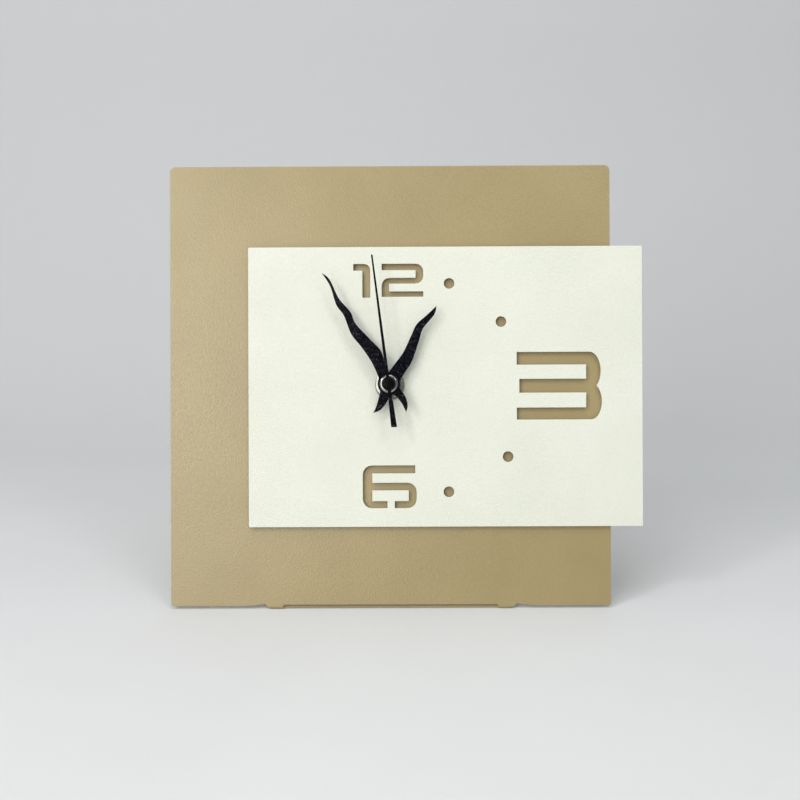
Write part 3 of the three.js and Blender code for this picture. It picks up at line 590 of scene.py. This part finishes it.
def thread(angle, radius, depth):
    """Cuts the screw thread into the bush's outside, in front of its flange."""
    on_shank = BUSH_RADIUS - 0.5 <= radius <= BUSH_RADIUS + 0.01
    if not on_shank or depth < bush_low.z + THREAD_START:
        return radius
    share = (depth / THREAD_PITCH - angle / (2 * math.pi)) % 1.0
    return radius - THREAD_DEPTH * abs(2 * share - 1)


def bush_profile():
    """The bush's section: flange, close rows for the thread, and bore."""
    steps_per_turn = 8
    shank_back = bush_low.z + 1.3
    shank_front = bush_high.z - 0.3
    count = round((shank_front - shank_back) / THREAD_PITCH * steps_per_turn)
    rows = [shank_back + (shank_front - shank_back) * step / count for step in range(count + 1)]
    return [
        (bush_high.x, bush_low.z),
        (bush_high.x, bush_low.z + BUSH_FLANGE),
        (BUSH_RADIUS - THREAD_DEPTH, bush_low.z + BUSH_FLANGE),
        *[(BUSH_RADIUS, row) for row in rows],
        (BUSH_RADIUS - 0.4, bush_high.z),
        (BUSH_BORE, bush_high.z),
        (BUSH_BORE, bush_low.z),
    ]


make_piece("bush_thread", turned(bush_profile(), 48, thread), "stand", brass, ["threaded_bush"])

washer_low, washer_high = span("flat_washer")
washer_form = turned(ring_profile(HUB_HOLE, washer_high.x, washer_low.z, washer_high.z, 0.12))
make_piece("washer_ring", washer_form, "stand", nickel, ["flat_washer"])

nut_low, nut_high = span("mounting_nut")
NUT_FLUTES = 40
FLUTE_DEPTH = 0.10


def knurl(angle, radius, depth):
    """Fine straight knurling on the nut's rim."""
    on_rim = radius > nut_high.x - 0.1
    return radius - (FLUTE_DEPTH * (1 - math.cos(NUT_FLUTES * angle)) / 2 if on_rim else 0)


nut_profile = [
    (nut_high.x - 0.2, nut_low.z),
    (nut_high.x, nut_low.z + 0.2),
    (nut_high.x, nut_high.z - 0.6),
    (nut_high.x - 0.2, nut_high.z - 0.2),
    (nut_high.x - 0.6, nut_high.z),
    (HUB_HOLE + 0.3, nut_high.z),
    (HUB_HOLE, nut_high.z - 0.3),
    (HUB_HOLE, nut_low.z),
]
nut_form = turned(nut_profile, NUT_FLUTES * 6, knurl)
make_piece("round_nut", nut_form, "stand", nickel, ["mounting_nut"], sharp=30)

# Movement case. A black moulded tub with the gear room above, the cell bay below and a hanging
# loop on top, closed by a rear cover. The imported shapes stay, with their edges softened.
CASE_EDGE = 0.25


def moulded(name, light, dark, roughness, grain=0.0004, depth=0.00002):
    """Moulded plastic: fine spark-eroded grain, faint flow marks and paler, polished edges."""
    plastic = Finish(name)
    flow = plastic.clouds(0.012, 2, (1, 3, 1))
    rub = [min(1, c * 1.6 + 0.012) for c in light]
    plastic.colour(plastic.tint(plastic.worn_edges(0.0004, 0.5), plastic.tint(flow, light, dark), rub))
    plastic.roughness(plastic.between(plastic.grain(0.002, 3), roughness - 0.08, roughness + 0.08))
    plastic.bump(plastic.grain(grain, 3), depth)
    return plastic.material


def soften(node, finish):
    """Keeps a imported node, welds its corners, rounds its edges and gives it its finish."""
    piece = frame["nodes"][node]
    weld = piece.modifiers.new("weld", "WELD")
    weld.merge_threshold = 1e-6
    bevel = piece.modifiers.new("edges", "BEVEL")
    bevel.width = CASE_EDGE * 0.001
    bevel.segments = 2
    bevel.limit_method = "ANGLE"
    bevel.angle_limit = math.radians(40)
    bevel.use_clamp_overlap = True
    bevel.harden_normals = True
    piece.data.polygons.foreach_set("use_smooth", [True] * len(piece.data.polygons))
    coat(node, finish)


def coat(node, finish):
    """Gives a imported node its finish."""
    piece = frame["nodes"][node]
    for index in range(len(piece.material_slots)):
        piece.material_slots[index].material = finish


black_plastic = moulded("black_plastic", (0.016, 0.016, 0.018), (0.023, 0.023, 0.025), 0.48)
soften("case_front", black_plastic)
soften("case_rear_cover", black_plastic)

# Mouldings on the case: snap tabs down both sides, a ring and a turning arrow round the setting
# knob, and the plus and minus signs on the floor of the cell bay.
TAB_HEIGHTS = (-4.0, 16.0)
TAB_HALF = 3.0
TAB_SUNK = 0.4
TAB_PROUD = 0.9
GUARD_INSIDE = 6.1
GUARD_OUTSIDE = 7.1
ARROW_RADIUS = 9.2
BAY_FLOOR = -3.9
SIGN_RELIEF = 0.2
SIGN_EDGE = 0.06
SIGN_PLACE = 19.0
SIGN_HALF = 2.0
knob_place = clock_axes.inverted() @ Vector(joint_named("knob_turn")["pos_m"])
knob_place.z = 0
case_back = span("case_front")[0].z
half_case = span("case_rear_cover")[1].x


def block(low, high, edge):
    """A small block with rounded edges."""
    return sheet_piece([rounded(oblong(low, high, edge), 3)], low.z, high.z, edge)


tab = 0
for side in (-1, 1):
    for height in TAB_HEIGHTS:
        tab += 1
        near = side * (half_case - TAB_SUNK)
        far = side * (half_case + TAB_PROUD)
        tab_low = Vector((min(near, far), height - TAB_HALF, case_back + 1.0))
        tab_high = Vector((max(near, far), height + TAB_HALF, case_back + 4.2))
        make_piece(f"snap_tab_{tab}", block(tab_low, tab_high, 0.3), "stand", black_plastic)

guard_form = turned(ring_profile(GUARD_INSIDE, GUARD_OUTSIDE, case_back - 0.5, case_back + 0.3, 0.2))
guard_place = Matrix.Translation(knob_place)
make_piece("knob_guard_ring", guard_form, "stand", black_plastic, place=guard_place)


def turning_arrow(radius, start, end, width=0.8, head=1.4):
    """A curved arrow round the knob's axis."""
    steps = 20
    turns = [math.radians(start + (end - start) * step / steps) for step in range(steps + 1)]
    inner = [Vector((math.cos(t), math.sin(t))) * (radius - width / 2) for t in turns]
    outer = [Vector((math.cos(t), math.sin(t))) * (radius + width / 2) for t in turns]
    tip_turn = math.radians(end) + 2.2 * head / radius
    last = Vector((math.cos(turns[-1]), math.sin(turns[-1])))
    tip = Vector((math.cos(tip_turn), math.sin(tip_turn))) * radius
    return [*outer, last * (radius + head), tip, last * (radius - head), *inner[::-1]]


arrow_outline = turning_arrow(ARROW_RADIUS, 200, 290)
arrow_form = sheet_piece([arrow_outline], case_back - 0.3, case_back + 0.2, 0.1)
make_piece("turning_arrow", arrow_form, "stand", black_plastic, place=guard_place)

cell_low, cell_high = span("battery_cell")
cell_height = (cell_low.y + cell_high.y) / 2
sign_back = BAY_FLOOR - SIGN_RELIEF
sign_front = BAY_FLOOR + SIGN_RELIEF
plus_sign = [(-2, -0.5), (-0.5, -0.5), (-0.5, -2), (0.5, -2), (0.5, -0.5), (2, -0.5)]
plus_sign += [(-x, -y) for x, y in plus_sign]
plus_form = sheet_piece([[Vector(point) for point in plus_sign]], sign_back, sign_front, SIGN_EDGE)
plus_place = Matrix.Translation((SIGN_PLACE, cell_height, 0))
make_piece("plus_sign", plus_form, "stand", black_plastic, place=plus_place)
dash_low = Vector((-SIGN_PLACE - SIGN_HALF, cell_height - 0.5, sign_back))
dash_high = Vector((-SIGN_PLACE + SIGN_HALF, cell_height + 0.5, sign_front))
minus_form = block(dash_low, dash_high, SIGN_EDGE)
make_piece("minus_sign", minus_form, "stand", black_plastic)

# Works inside the case. Wheels, middle plate and bobbin are moulded in natural acetal, the centre
# wheel and cannon pinion are brass, and the seconds arbor and the motor's iron are steel.
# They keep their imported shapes.
white_plastic = moulded("white_plastic", (0.80, 0.78, 0.71), (0.74, 0.72, 0.64), 0.42)
steel = plated("steel", (0.52, 0.53, 0.54), (0.40, 0.41, 0.42), 0.30, (1, 8, 1))
for node in ("seconds_wheel", "intermediate_wheel", "third_wheel", "motion_wheel", "hour_wheel",
             "rotor_pinion", "middle_plate", "coil_bobbin"):
    coat(node, white_plastic)
for node in ("centre_wheel", "cannon_pinion"):
    coat(node, brass)
for node in ("seconds_arbor", "stator", "coil_core"):
    coat(node, steel)

# Motor and circuit. The rotor's sintered magnet, the enamelled copper winding, and a brown
# resin board with printed tracks, a quartz can and a chip under a drop of black epoxy.
magnet = Finish("magnet", metallic=0.4)
magnet.colour(magnet.tint(magnet.clouds(0.0005), (0.07, 0.065, 0.06), (0.13, 0.125, 0.12)))
magnet.roughness(magnet.between(magnet.grain(0.0003), 0.5, 0.75))
magnet.bump(magnet.grain(0.00015, 2), 0.00002)
coat("rotor_magnet", magnet.material)

copper = Finish("copper", metallic=1.0)
turns = copper.node("ShaderNodeTexWave", bands_direction="X")
turns.inputs["Scale"].default_value = 1.0
turns.inputs["Distortion"].default_value = 0.6
copper.feed(copper.stretched(0.0006), turns.inputs["Vector"])
copper.colour(copper.tint(turns.outputs["Fac"], (0.30, 0.09, 0.03), (0.72, 0.28, 0.11)))
copper.roughness(copper.between(copper.grain(0.0005), 0.25, 0.5))
copper.bump(turns.outputs["Fac"], 0.00006)
coat("coil_winding", copper.material)

board = Finish("board")
tracks = board.node("ShaderNodeTexBrick")
tracks.inputs["Scale"].default_value = 1.0
tracks.inputs["Mortar Size"].default_value = 0.12
board.feed(board.stretched(0.004), tracks.inputs["Vector"])
resin = board.tint(board.clouds(0.002), (0.16, 0.08, 0.03), (0.11, 0.055, 0.02))
board.colour(board.tint(tracks.outputs["Fac"], resin, (0.36, 0.22, 0.10)))
board.roughness(board.between(board.grain(0.001), 0.4, 0.65))
board.bump(tracks.outputs["Fac"], 0.00003)
coat("circuit_board", board.material)
coat("quartz_crystal", nickel)

epoxy = Finish("epoxy")
epoxy.colour(epoxy.tint(epoxy.clouds(0.002), (0.006, 0.006, 0.006), (0.014, 0.014, 0.014)))
epoxy.roughness(epoxy.between(epoxy.grain(0.001), 0.18, 0.34))
epoxy.bump(epoxy.grain(0.0015, 1), 0.00005)
coat("chip_blob", epoxy.material)

# Contacts. Nickel-plated spring strip at each end of the cell bay: a plate with a pressed dimple
# at the plus end, and a plate with a conical wire spring at the minus end.
facing_x = Matrix(((0, 0, 1, 0), (1, 0, 0, 0), (0, 1, 0, 0), (0, 0, 0, 1)))
plus_low, plus_high = span("contact_positive")
minus_low, minus_high = span("contact_negative")
STRIP = 0.4
CONTACT_HALF = 5.0
CONTACT_CORNER = 1.2
DIMPLE_RADIUS = 3.0
DIMPLE_HEIGHT = 0.26


def contact_plate(back, front):
    """A square of strip with its corners rounded."""
    corner = Vector((CONTACT_HALF, CONTACT_HALF))
    return sheet_piece([rounded(oblong(-corner, corner, CONTACT_CORNER))], back, front, 0.1)


cell_depth = (cell_low.z + cell_high.z) / 2
contact_place = Matrix.Translation((0, cell_height, cell_depth)) @ facing_x
plus_plate = contact_plate(plus_low.x, plus_high.x)
make_piece("plus_contact", plus_plate, "stand", nickel, ["contact_positive"], contact_place)
dimple_steps = [math.pi / 2 * step / 8 for step in range(9)]
dimple = [(DIMPLE_RADIUS * math.sin(t), plus_low.x - DIMPLE_HEIGHT * math.cos(t)) for t in dimple_steps]
dimple_foot = plus_low.x + 0.1
dimple_profile = [(0, dimple[0][1]), *dimple[1:], (DIMPLE_RADIUS, dimple_foot), (0, dimple_foot)]
dimple_form = turned(dimple_profile, 36)
make_piece("plus_dimple", dimple_form, "stand", nickel, place=contact_place)


def spring_wire(points, radius, sides=10):
    """A round wire along points, closed at both ends."""
    wire = bmesh.new()
    rings = []
    for index, point in enumerate(points):
        along = (points[min(index + 1, len(points) - 1)] - points[max(index - 1, 0)]).normalized()
        across = along.cross(Vector((0, 0, 1))).normalized()
        over = along.cross(across)
        turns = [2 * math.pi * side / sides for side in range(sides)]
        ring = [point + (across * math.cos(turn) + over * math.sin(turn)) * radius for turn in turns]
        rings.append([wire.verts.new(corner) for corner in ring])
    join_rows(wire, rings)
    wire.faces.new(rings[0][::-1])
    wire.faces.new(rings[-1])
    return wire


minus_plate = contact_plate(minus_low.x, minus_low.x + STRIP)
SPRING_TURNS = 3.5
SPRING_WIDE = 4.2
SPRING_TAPER = 2.2
SPRING_WIRE = 0.25
SPRING_STEPS = 140
spring_start = minus_low.x + STRIP + 0.2
spring_end = minus_high.x - 0.3
spring_points = []
for step in range(SPRING_STEPS + 1):
    share = step / SPRING_STEPS
    turn = 2 * math.pi * SPRING_TURNS * share
    radius = SPRING_WIDE - SPRING_TAPER * share
    depth = spring_start + (spring_end - spring_start) * share
    spring_points.append(Vector((radius * math.cos(turn), radius * math.sin(turn), depth)))
spring_form = spring_wire(spring_points, SPRING_WIRE)
make_piece("minus_contact", minus_plate, "stand", nickel, ["contact_negative"], contact_place)
make_piece("minus_spring", spring_form, "stand", nickel, place=contact_place)

# Cell. A steel can in a shrunk plastic jacket, with the jacket's rolled rims over both ends and
# the bare nub at the plus end. It lifts straight out of the back of its bay.
jacket = Finish("cell_jacket", metallic=0.35)
band = jacket.node("ShaderNodeSeparateXYZ")
jacket.feed(jacket.place, band.inputs["Vector"])
copper_end = jacket.between(band.outputs["X"], 0, 1, 0.0118, 0.0122)
grey = jacket.tint(jacket.clouds(0.006), (0.055, 0.057, 0.06), (0.085, 0.087, 0.09))
jacket_base = jacket.tint(copper_end, grey, (0.47, 0.24, 0.10))
jacket.colour(jacket.tint(jacket.worn_edges(0.0003, 0.5), jacket_base, (0.35, 0.34, 0.33)))
jacket.roughness(jacket.between(jacket.grain(0.0015, 4), 0.22, 0.40))
jacket.bump(jacket.grain(0.003, 2, (4, 1, 1)), 0.00003)

NUB_LENGTH = 0.9
RIM_WIDTH = 1.4
JACKET = 0.25
cell_radius = (cell_high.z - cell_low.z) / 2
shoulder = cell_high.x - NUB_LENGTH
lengthwise = Matrix.Translation((0, cell_height, cell_depth)) @ Matrix.Rotation(math.pi / 2, 4, "Y")
sleeve_profile = profile_of([
    (cell_radius - RIM_WIDTH, cell_low.x + 0.1, 0.04),
    (cell_radius - RIM_WIDTH, cell_low.x, 0.04),
    (cell_radius, cell_low.x, 0.7),
    (cell_radius, shoulder, 0.7),
    (cell_radius - RIM_WIDTH, shoulder, 0.04),
    (cell_radius - RIM_WIDTH, shoulder - 0.1, 0.04),
    (cell_radius - JACKET, shoulder - JACKET, 0.5),
    (cell_radius - JACKET, cell_low.x + JACKET, 0.5),
])
sleeve_form = turned(sleeve_profile)
make_piece(
    "cell_sleeve", sleeve_form, "battery", jacket.material, ["battery_cell"], lengthwise,
)
minus_end = [
    (0, cell_low.x + 0.12), (4.6, cell_low.x + 0.12), (5.0, cell_low.x + 0.35),
    (cell_radius - 0.35, cell_low.x + 0.4),
]
plus_end = [
    (cell_radius - 0.35, shoulder - 0.4), (5.3, shoulder - 0.3), (4.9, shoulder - 0.55),
    (3.3, shoulder - 0.55), (2.75, shoulder - 0.3), (2.7, cell_high.x - 0.3),
    (2.4, cell_high.x), (0, cell_high.x),
]
make_piece("cell_can", turned(minus_end + plus_end), "battery", steel, place=lengthwise)

# Setting knob. A small ribbed wheel of black plastic at the back, on the stem whose pinion turns
# the motion wheel; its end is dished for a fingertip.
knob_low, knob_high = span("setting_knob")
KNOB_RIBS = 30
RIB_DEPTH = 0.35
RIM_INSIDE = 4.6


def ribs(angle, radius, depth):
    """Rounded ribs on the knob's rim."""
    on_rim = radius > RIM_INSIDE
    return radius - (RIB_DEPTH * (1 - abs(math.cos(KNOB_RIBS * angle / 2))) if on_rim else 0)


knob_back = knob_low.z
knob_front = case_back - 0.3
knob_profile = [
    (0, knob_back + 0.45), (1.6, knob_back + 0.40), (3.2, knob_back + 0.18), (4.1, knob_back),
    (RIM_INSIDE, knob_back + 0.02), (5.0, knob_back + 0.2), (5.2, knob_back + 0.5), (5.2, knob_front - 0.25),
    (5.0, knob_front), (1.0, knob_front), (1.0, knob_high.z), (0, knob_high.z),
]
knob_form = turned(knob_profile, KNOB_RIBS * 8, ribs)
make_piece(
    "setting_wheel", knob_form, "knob", black_plastic, ["setting_knob"], guard_place, 50,
)

# Hands. Hour and minute hands are wavy blades with a curved horn behind the hub, stamped from
# thin sheet and lacquered gloss black; the seconds hand is a thin needle with a flat tail.
HOUR_ANGLE = math.radians(-30.7)
MINUTE_ANGLE = math.radians(30.7)
SECOND_ANGLE = math.radians(7.2)
HOUR_LENGTH = 41.1
MINUTE_LENGTH = 58.0
SECOND_LENGTH = 57.9
HAND_HUB = 5.0
SECOND_HUB = 2.4
LACQUER_EDGE = 0.09

lacquer = Finish("black_lacquer")
scratches = lacquer.between(lacquer.grain(0.0005, 3, (0.5, 7, 1)), 0, 1, 0.62, 0.70)
cross_scratches = lacquer.between(lacquer.grain(0.0005, 3, (6, 0.5, 1)), 0, 1, 0.64, 0.72)
# The lacquer's faint navy patches are a painted reflection; the pale scratches are real wear.
navy_reflection_patches = lacquer.clouds(0.003)
lacquer_base = lacquer.tint(navy_reflection_patches, (0.0010, 0.0010, 0.0014), (0.0024, 0.0024, 0.0060))
scratched = lacquer.tint(scratches, lacquer_base, (0.11, 0.11, 0.15))
scratched = lacquer.tint(cross_scratches, scratched, (0.08, 0.08, 0.10))
lacquer.colour(lacquer.tint(lacquer.worn_edges(0.0002, 0.35), scratched, (0.04, 0.04, 0.045)))
lacquer.roughness(lacquer.between(lacquer.grain(0.0009, 5), 0.08, 0.24))
lacquer.bump(scratches, 0.00002)
lacquer.bump(cross_scratches, 0.00002)
lacquer.bump(lacquer.grain(0.0025, 2), 0.00003)
lacquer.shader.inputs["Specular IOR Level"].default_value = 0.07


def flowing(points, steps=8):
    """A smooth line through points."""
    line = []
    last = len(points) - 1
    for index in range(last):
        p0, p1, p2, p3 = (points[min(max(index + offset, 0), last)] for offset in (-1, 0, 1, 2))
        for step in range(steps):
            t = step / steps
            pull = (p2 - p0) * t + (2 * p0 - 5 * p1 + 4 * p2 - p3) * t**2
            pull += (3 * p1 - p0 - 3 * p2 + p3) * t**3
            line.append(p1 + pull * 0.5)
    return [*line, points[last]]


def round_hub(start, end, radius, steps=10):
    """Points on the hub's rim from one side's root to the other, the short way, clockwise."""
    first = math.atan2(start.y, start.x)
    swing = (first - math.atan2(end.y, end.x)) % (2 * math.pi)
    turns = [first - swing * step / steps for step in range(1, steps)]
    return [Vector((math.cos(turn), math.sin(turn))) * radius for turn in turns]


def hand_outline(hub_radius, blade_left, blade_right, horn_out, horn_in):
    """Blade, hub and horn as one outline; each edge is a line of points that starts or ends in the hub."""
    clear = [[point for point in line if point.length > hub_radius + 0.02]
             for line in (blade_left, blade_right, horn_out, horn_in)]
    left, right, out, back = clear
    return [
        *left, *right[1:], *round_hub(right[-1], out[0], hub_radius),
        *out, *back[1:], *round_hub(back[-1], left[0], hub_radius),
    ]


def wavy_hand(length, left, tip, right, horn_out, horn_tip, horn_in, bore):
    """A wavy hand pointing up; blade points are (sideways, share of the length)."""
    blade = [Vector((x, share * length)) for x, share in [*left, (tip, 1)]]
    other = [Vector((x, share * length)) for x, share in [(tip, 1), *right]]
    horn = [Vector(point) for point in [*horn_out, horn_tip]]
    inner = [Vector(point) for point in [horn_tip, *horn_in]]
    return [hand_outline(HAND_HUB, *map(flowing, (blade, other, horn, inner))), circle(bore, steps=48)]


def turned_to(angle):
    return Matrix.Rotation(angle, 4, "Z")


hour_low, hour_high = span("hour_hand")
hour_outlines = wavy_hand(
    HOUR_LENGTH,
    [(-3.2, 0.049), (-2.3, 0.246), (-1.8, 0.38), (-2.5, 0.577), (-3, 0.713), (-1.2, 0.856)],
    0.5,
    [(1.6, 0.903), (0.4, 0.713), (1.6, 0.579), (3.6, 0.343), (3.4, 0.197), (3.5, 0.049)],
    [(3, -4), (3.1, -8.6), (2.4, -12.1)],
    (0.4, -14.7),
    [(0.1, -11.6), (-1, -7.3), (-2, -4)],
    bore=4.1,
)
hour_form = sheet_piece(hour_outlines, hour_low.z, hour_high.z, LACQUER_EDGE)
make_piece(
    "hour_blade", hour_form, "hour", lacquer.material, ["hour_hand"],
    turned_to(HOUR_ANGLE),
)

minute_low, minute_high = span("minute_hand")
minute_outlines = wavy_hand(
    MINUTE_LENGTH,
    [
        (-3, 0.034), (-2, 0.134), (-1.6, 0.226), (-2.1, 0.357),
        (-3, 0.478), (-1.6, 0.626), (-2, 0.731), (-0.1, 0.876),
    ],
    -0.3,
    [
        (1.25, 0.922), (0.45, 0.762), (1.8, 0.629), (1.1, 0.531),
        (2.8, 0.386), (4.5, 0.243), (2.4, 0.122), (2, 0.034),
    ],
    [(3.2, -4), (3.4, -8.9), (2.2, -12.7)],
    (0.1, -14.9),
    [(0.5, -11.1), (0.2, -7.6), (-0.8, -4)],
    bore=3.15,
)
minute_form = sheet_piece(minute_outlines, minute_low.z, minute_high.z, LACQUER_EDGE)
make_piece(
    "minute_blade", minute_form, "minute", lacquer.material, ["minute_hand"],
    turned_to(MINUTE_ANGLE),
)

second_low, second_high = span("second_hand")
needle_side = [(0.54, 2), (0.36, SECOND_LENGTH - 0.4), (0.2, SECOND_LENGTH)]
tail_side = [(0.55, -2), (0.55, -7.1), (1, -7.9), (1.3, -19.5), (1.1, -19.7)]
second_outline = hand_outline(
    SECOND_HUB,
    [Vector((-x, y)) for x, y in needle_side],
    [Vector((x, y)) for x, y in reversed(needle_side)],
    [Vector((x, y)) for x, y in tail_side],
    [Vector((-x, y)) for x, y in reversed(tail_side)],
)
second_form = sheet_piece([second_outline, circle(1.8, steps=40)], second_low.z, second_high.z, 0.06)
make_piece(
    "second_needle", second_form, "seconds", lacquer.material, ["second_hand"],
    turned_to(SECOND_ANGLE),
)

# Collets and cap. A brass collet is riveted in the hour hand and a bright flanged one in the
# minute hand; a small black cap holds the seconds hand on its arbor.
hour_bush_low, hour_bush_high = span("hour_hand_bush")
hour_collet = turned(ring_profile(3.0, hour_bush_high.x, hour_bush_low.z, hour_bush_high.z, 0.15))
make_piece("hour_collet", hour_collet, "hour", brass, ["hour_hand_bush"])

# The polished nickel's colour is painted dark: a painted reflection of dark surroundings in its mirror
# finish.
polished = plated("polished_nickel", (0.34, 0.34, 0.33), (0.20, 0.20, 0.19), 0.10)
collet_low, collet_high = span("minute_hand_bush")
COLLET_BORE = 2.05
COLLET_WALL = 0.8
COLLET_BEAD = 0.6
collet_middle = (COLLET_BORE + collet_high.x) / 2
collet_half = (collet_high.x - COLLET_BORE) / 2
collet_rise = [math.pi * step / 12 for step in range(13)]
bead_foot = collet_high.z - COLLET_BEAD
collet_bead = [
    (collet_middle + collet_half * math.cos(t), bead_foot + COLLET_BEAD * math.sin(t))
    for t in collet_rise
]
collet_profile = [
    (COLLET_BORE, collet_low.z),
    (COLLET_BORE + COLLET_WALL, collet_low.z),
    (COLLET_BORE + COLLET_WALL, collet_high.z - 0.58),
    *collet_bead,
]
minute_collet = turned(collet_profile)
make_piece("minute_collet", minute_collet, "minute", polished, ["minute_hand_bush"], sharp=60)

cap_low, cap_high = span("second_hand_cap")
matt_black = moulded("matt_black", (0.002, 0.002, 0.0025), (0.004, 0.004, 0.0045), 0.30, 0.0003, 0.00001)
matt_black.node_tree.nodes["Principled BSDF"].inputs["Specular IOR Level"].default_value = 0.06
CAP_STEM = 1.6
CAP_BORE = 0.8
CAP_BORE_DEPTH = 2.0
cap_radius = cap_high.x
cap_top = cap_high.z
crown_steps = [math.pi / 2 * step / 10 for step in range(9, 0, -1)]
cap_profile = [
    (0, cap_low.z + CAP_BORE_DEPTH), (CAP_BORE, cap_low.z + CAP_BORE_DEPTH),
    (CAP_BORE, cap_low.z), (CAP_STEM, cap_low.z),
    (CAP_STEM, cap_top - 1.35), (cap_radius - 0.1, cap_top - 1.35), (cap_radius, cap_top - 1.25),
    (cap_radius, cap_top - 0.6),
    *[(cap_radius * math.sin(t), cap_top - 0.55 * (1 - math.cos(t))) for t in crown_steps],
    (0, cap_top),
]
make_piece("centre_cap", turned(cap_profile), "seconds", matt_black, ["second_hand_cap"])

# Setting. A seamless pale sweep for floor and backdrop, a small lamp high at each side, a large
# soft card at the left and another overhead, and an even sky.
sweep_finish = Finish("pale_sweep")
sweep_tone = sweep_finish.clouds(0.09)
sweep_depth = sweep_finish.node("ShaderNodeSeparateXYZ")
sweep_finish.feed(sweep_finish.place, sweep_depth.inputs["Vector"])
# The sweep's colour turns greyer towards the wall: painted shade, standing in for the wall getting less
# light than the floor.
painted_wall_shade = sweep_finish.between(sweep_depth.outputs["Y"], 0, 1, -0.25, 0.35)
sweep_front = sweep_finish.tint(sweep_tone, (0.79, 0.80, 0.80), (0.76, 0.77, 0.775))
sweep_finish.colour(sweep_finish.tint(painted_wall_shade, sweep_front, (0.625, 0.635, 0.64)))
sweep_finish.roughness(sweep_finish.between(sweep_finish.grain(0.02), 0.7, 0.85))
sweep_finish.bump(sweep_finish.grain(0.0012, 3), 0.00004)

SWEEP_HALF_WIDTH = 1.6
SWEEP_FRONT = -1.6
WALL_DISTANCE = 0.62
WALL_HEIGHT = 2.2
SWEEP_RADIUS = 0.35
SWEEP_STEPS = 24
sweep_line = [Vector((SWEEP_FRONT, 0.0))]
for step in range(SWEEP_STEPS + 1):
    turn = math.pi / 2 * step / SWEEP_STEPS
    reach = WALL_DISTANCE - SWEEP_RADIUS + SWEEP_RADIUS * math.sin(turn)
    sweep_line.append(Vector((reach, SWEEP_RADIUS * (1 - math.cos(turn)))))
sweep_line.append(Vector((WALL_DISTANCE, WALL_HEIGHT)))
sweep_form = bmesh.new()
sweep_rows = []
for side in (-SWEEP_HALF_WIDTH, SWEEP_HALF_WIDTH):
    sweep_rows.append([sweep_form.verts.new((side, point.x, point.y)) for point in sweep_line])
for index in range(len(sweep_line) - 1):
    left, right = sweep_rows
    sweep_form.faces.new((left[index], right[index], right[index + 1], left[index + 1]))
sweep_mesh = bpy.data.meshes.new("sweep")
sweep_form.to_mesh(sweep_mesh)
sweep_form.free()
sweep_mesh.polygons.foreach_set("use_smooth", [True] * len(sweep_mesh.polygons))
sweep_mesh.materials.append(sweep_finish.material)
sweep = bpy.data.objects.new("sweep", sweep_mesh)
bpy.context.scene.collection.objects.link(sweep)


def soft_light(name, place, aim, size, watts, colour):
    """A square soft box at a place, turned to its aim."""
    data = bpy.data.lights.new(name, "AREA")
    data.shape = "SQUARE"
    data.size = size
    data.energy = watts
    data.color = colour
    light = bpy.data.objects.new(name, data)
    bpy.context.scene.collection.objects.link(light)
    light.location = place
    light.rotation_euler = (Vector(aim) - Vector(place)).to_track_quat("-Z", "Y").to_euler()


CLOCK_MIDDLE = (0, 0, 0.1)
FLOOR_IN_FRONT = (0, -0.1, 0)
soft_light("left_lamp", (-0.83, -0.71, 0.93), CLOCK_MIDDLE, size=0.24, watts=3.2, colour=(1.0, 0.99, 0.97))
soft_light("right_lamp", (0.60, -0.75, 0.98), CLOCK_MIDDLE, size=0.26, watts=1.6, colour=(0.97, 0.985, 1.0))
soft_light("left_card", (-0.60, -1.10, 0.52), CLOCK_MIDDLE, size=0.8, watts=6.5, colour=(1.0, 0.985, 0.965))
soft_light("top_card", (0, -0.45, 1.4), FLOOR_IN_FRONT, size=1.0, watts=6.8, colour=(1.0, 1.0, 1.0))
world = bpy.data.worlds.new("even_sky")
world.use_nodes = True
sky = world.node_tree.nodes["Background"]
sky.inputs["Color"].default_value = (0.95, 0.97, 1.0, 1)
sky.inputs["Strength"].default_value = 0.38
bpy.context.scene.world = world
bpy.context.scene.view_settings.view_transform = "Standard"
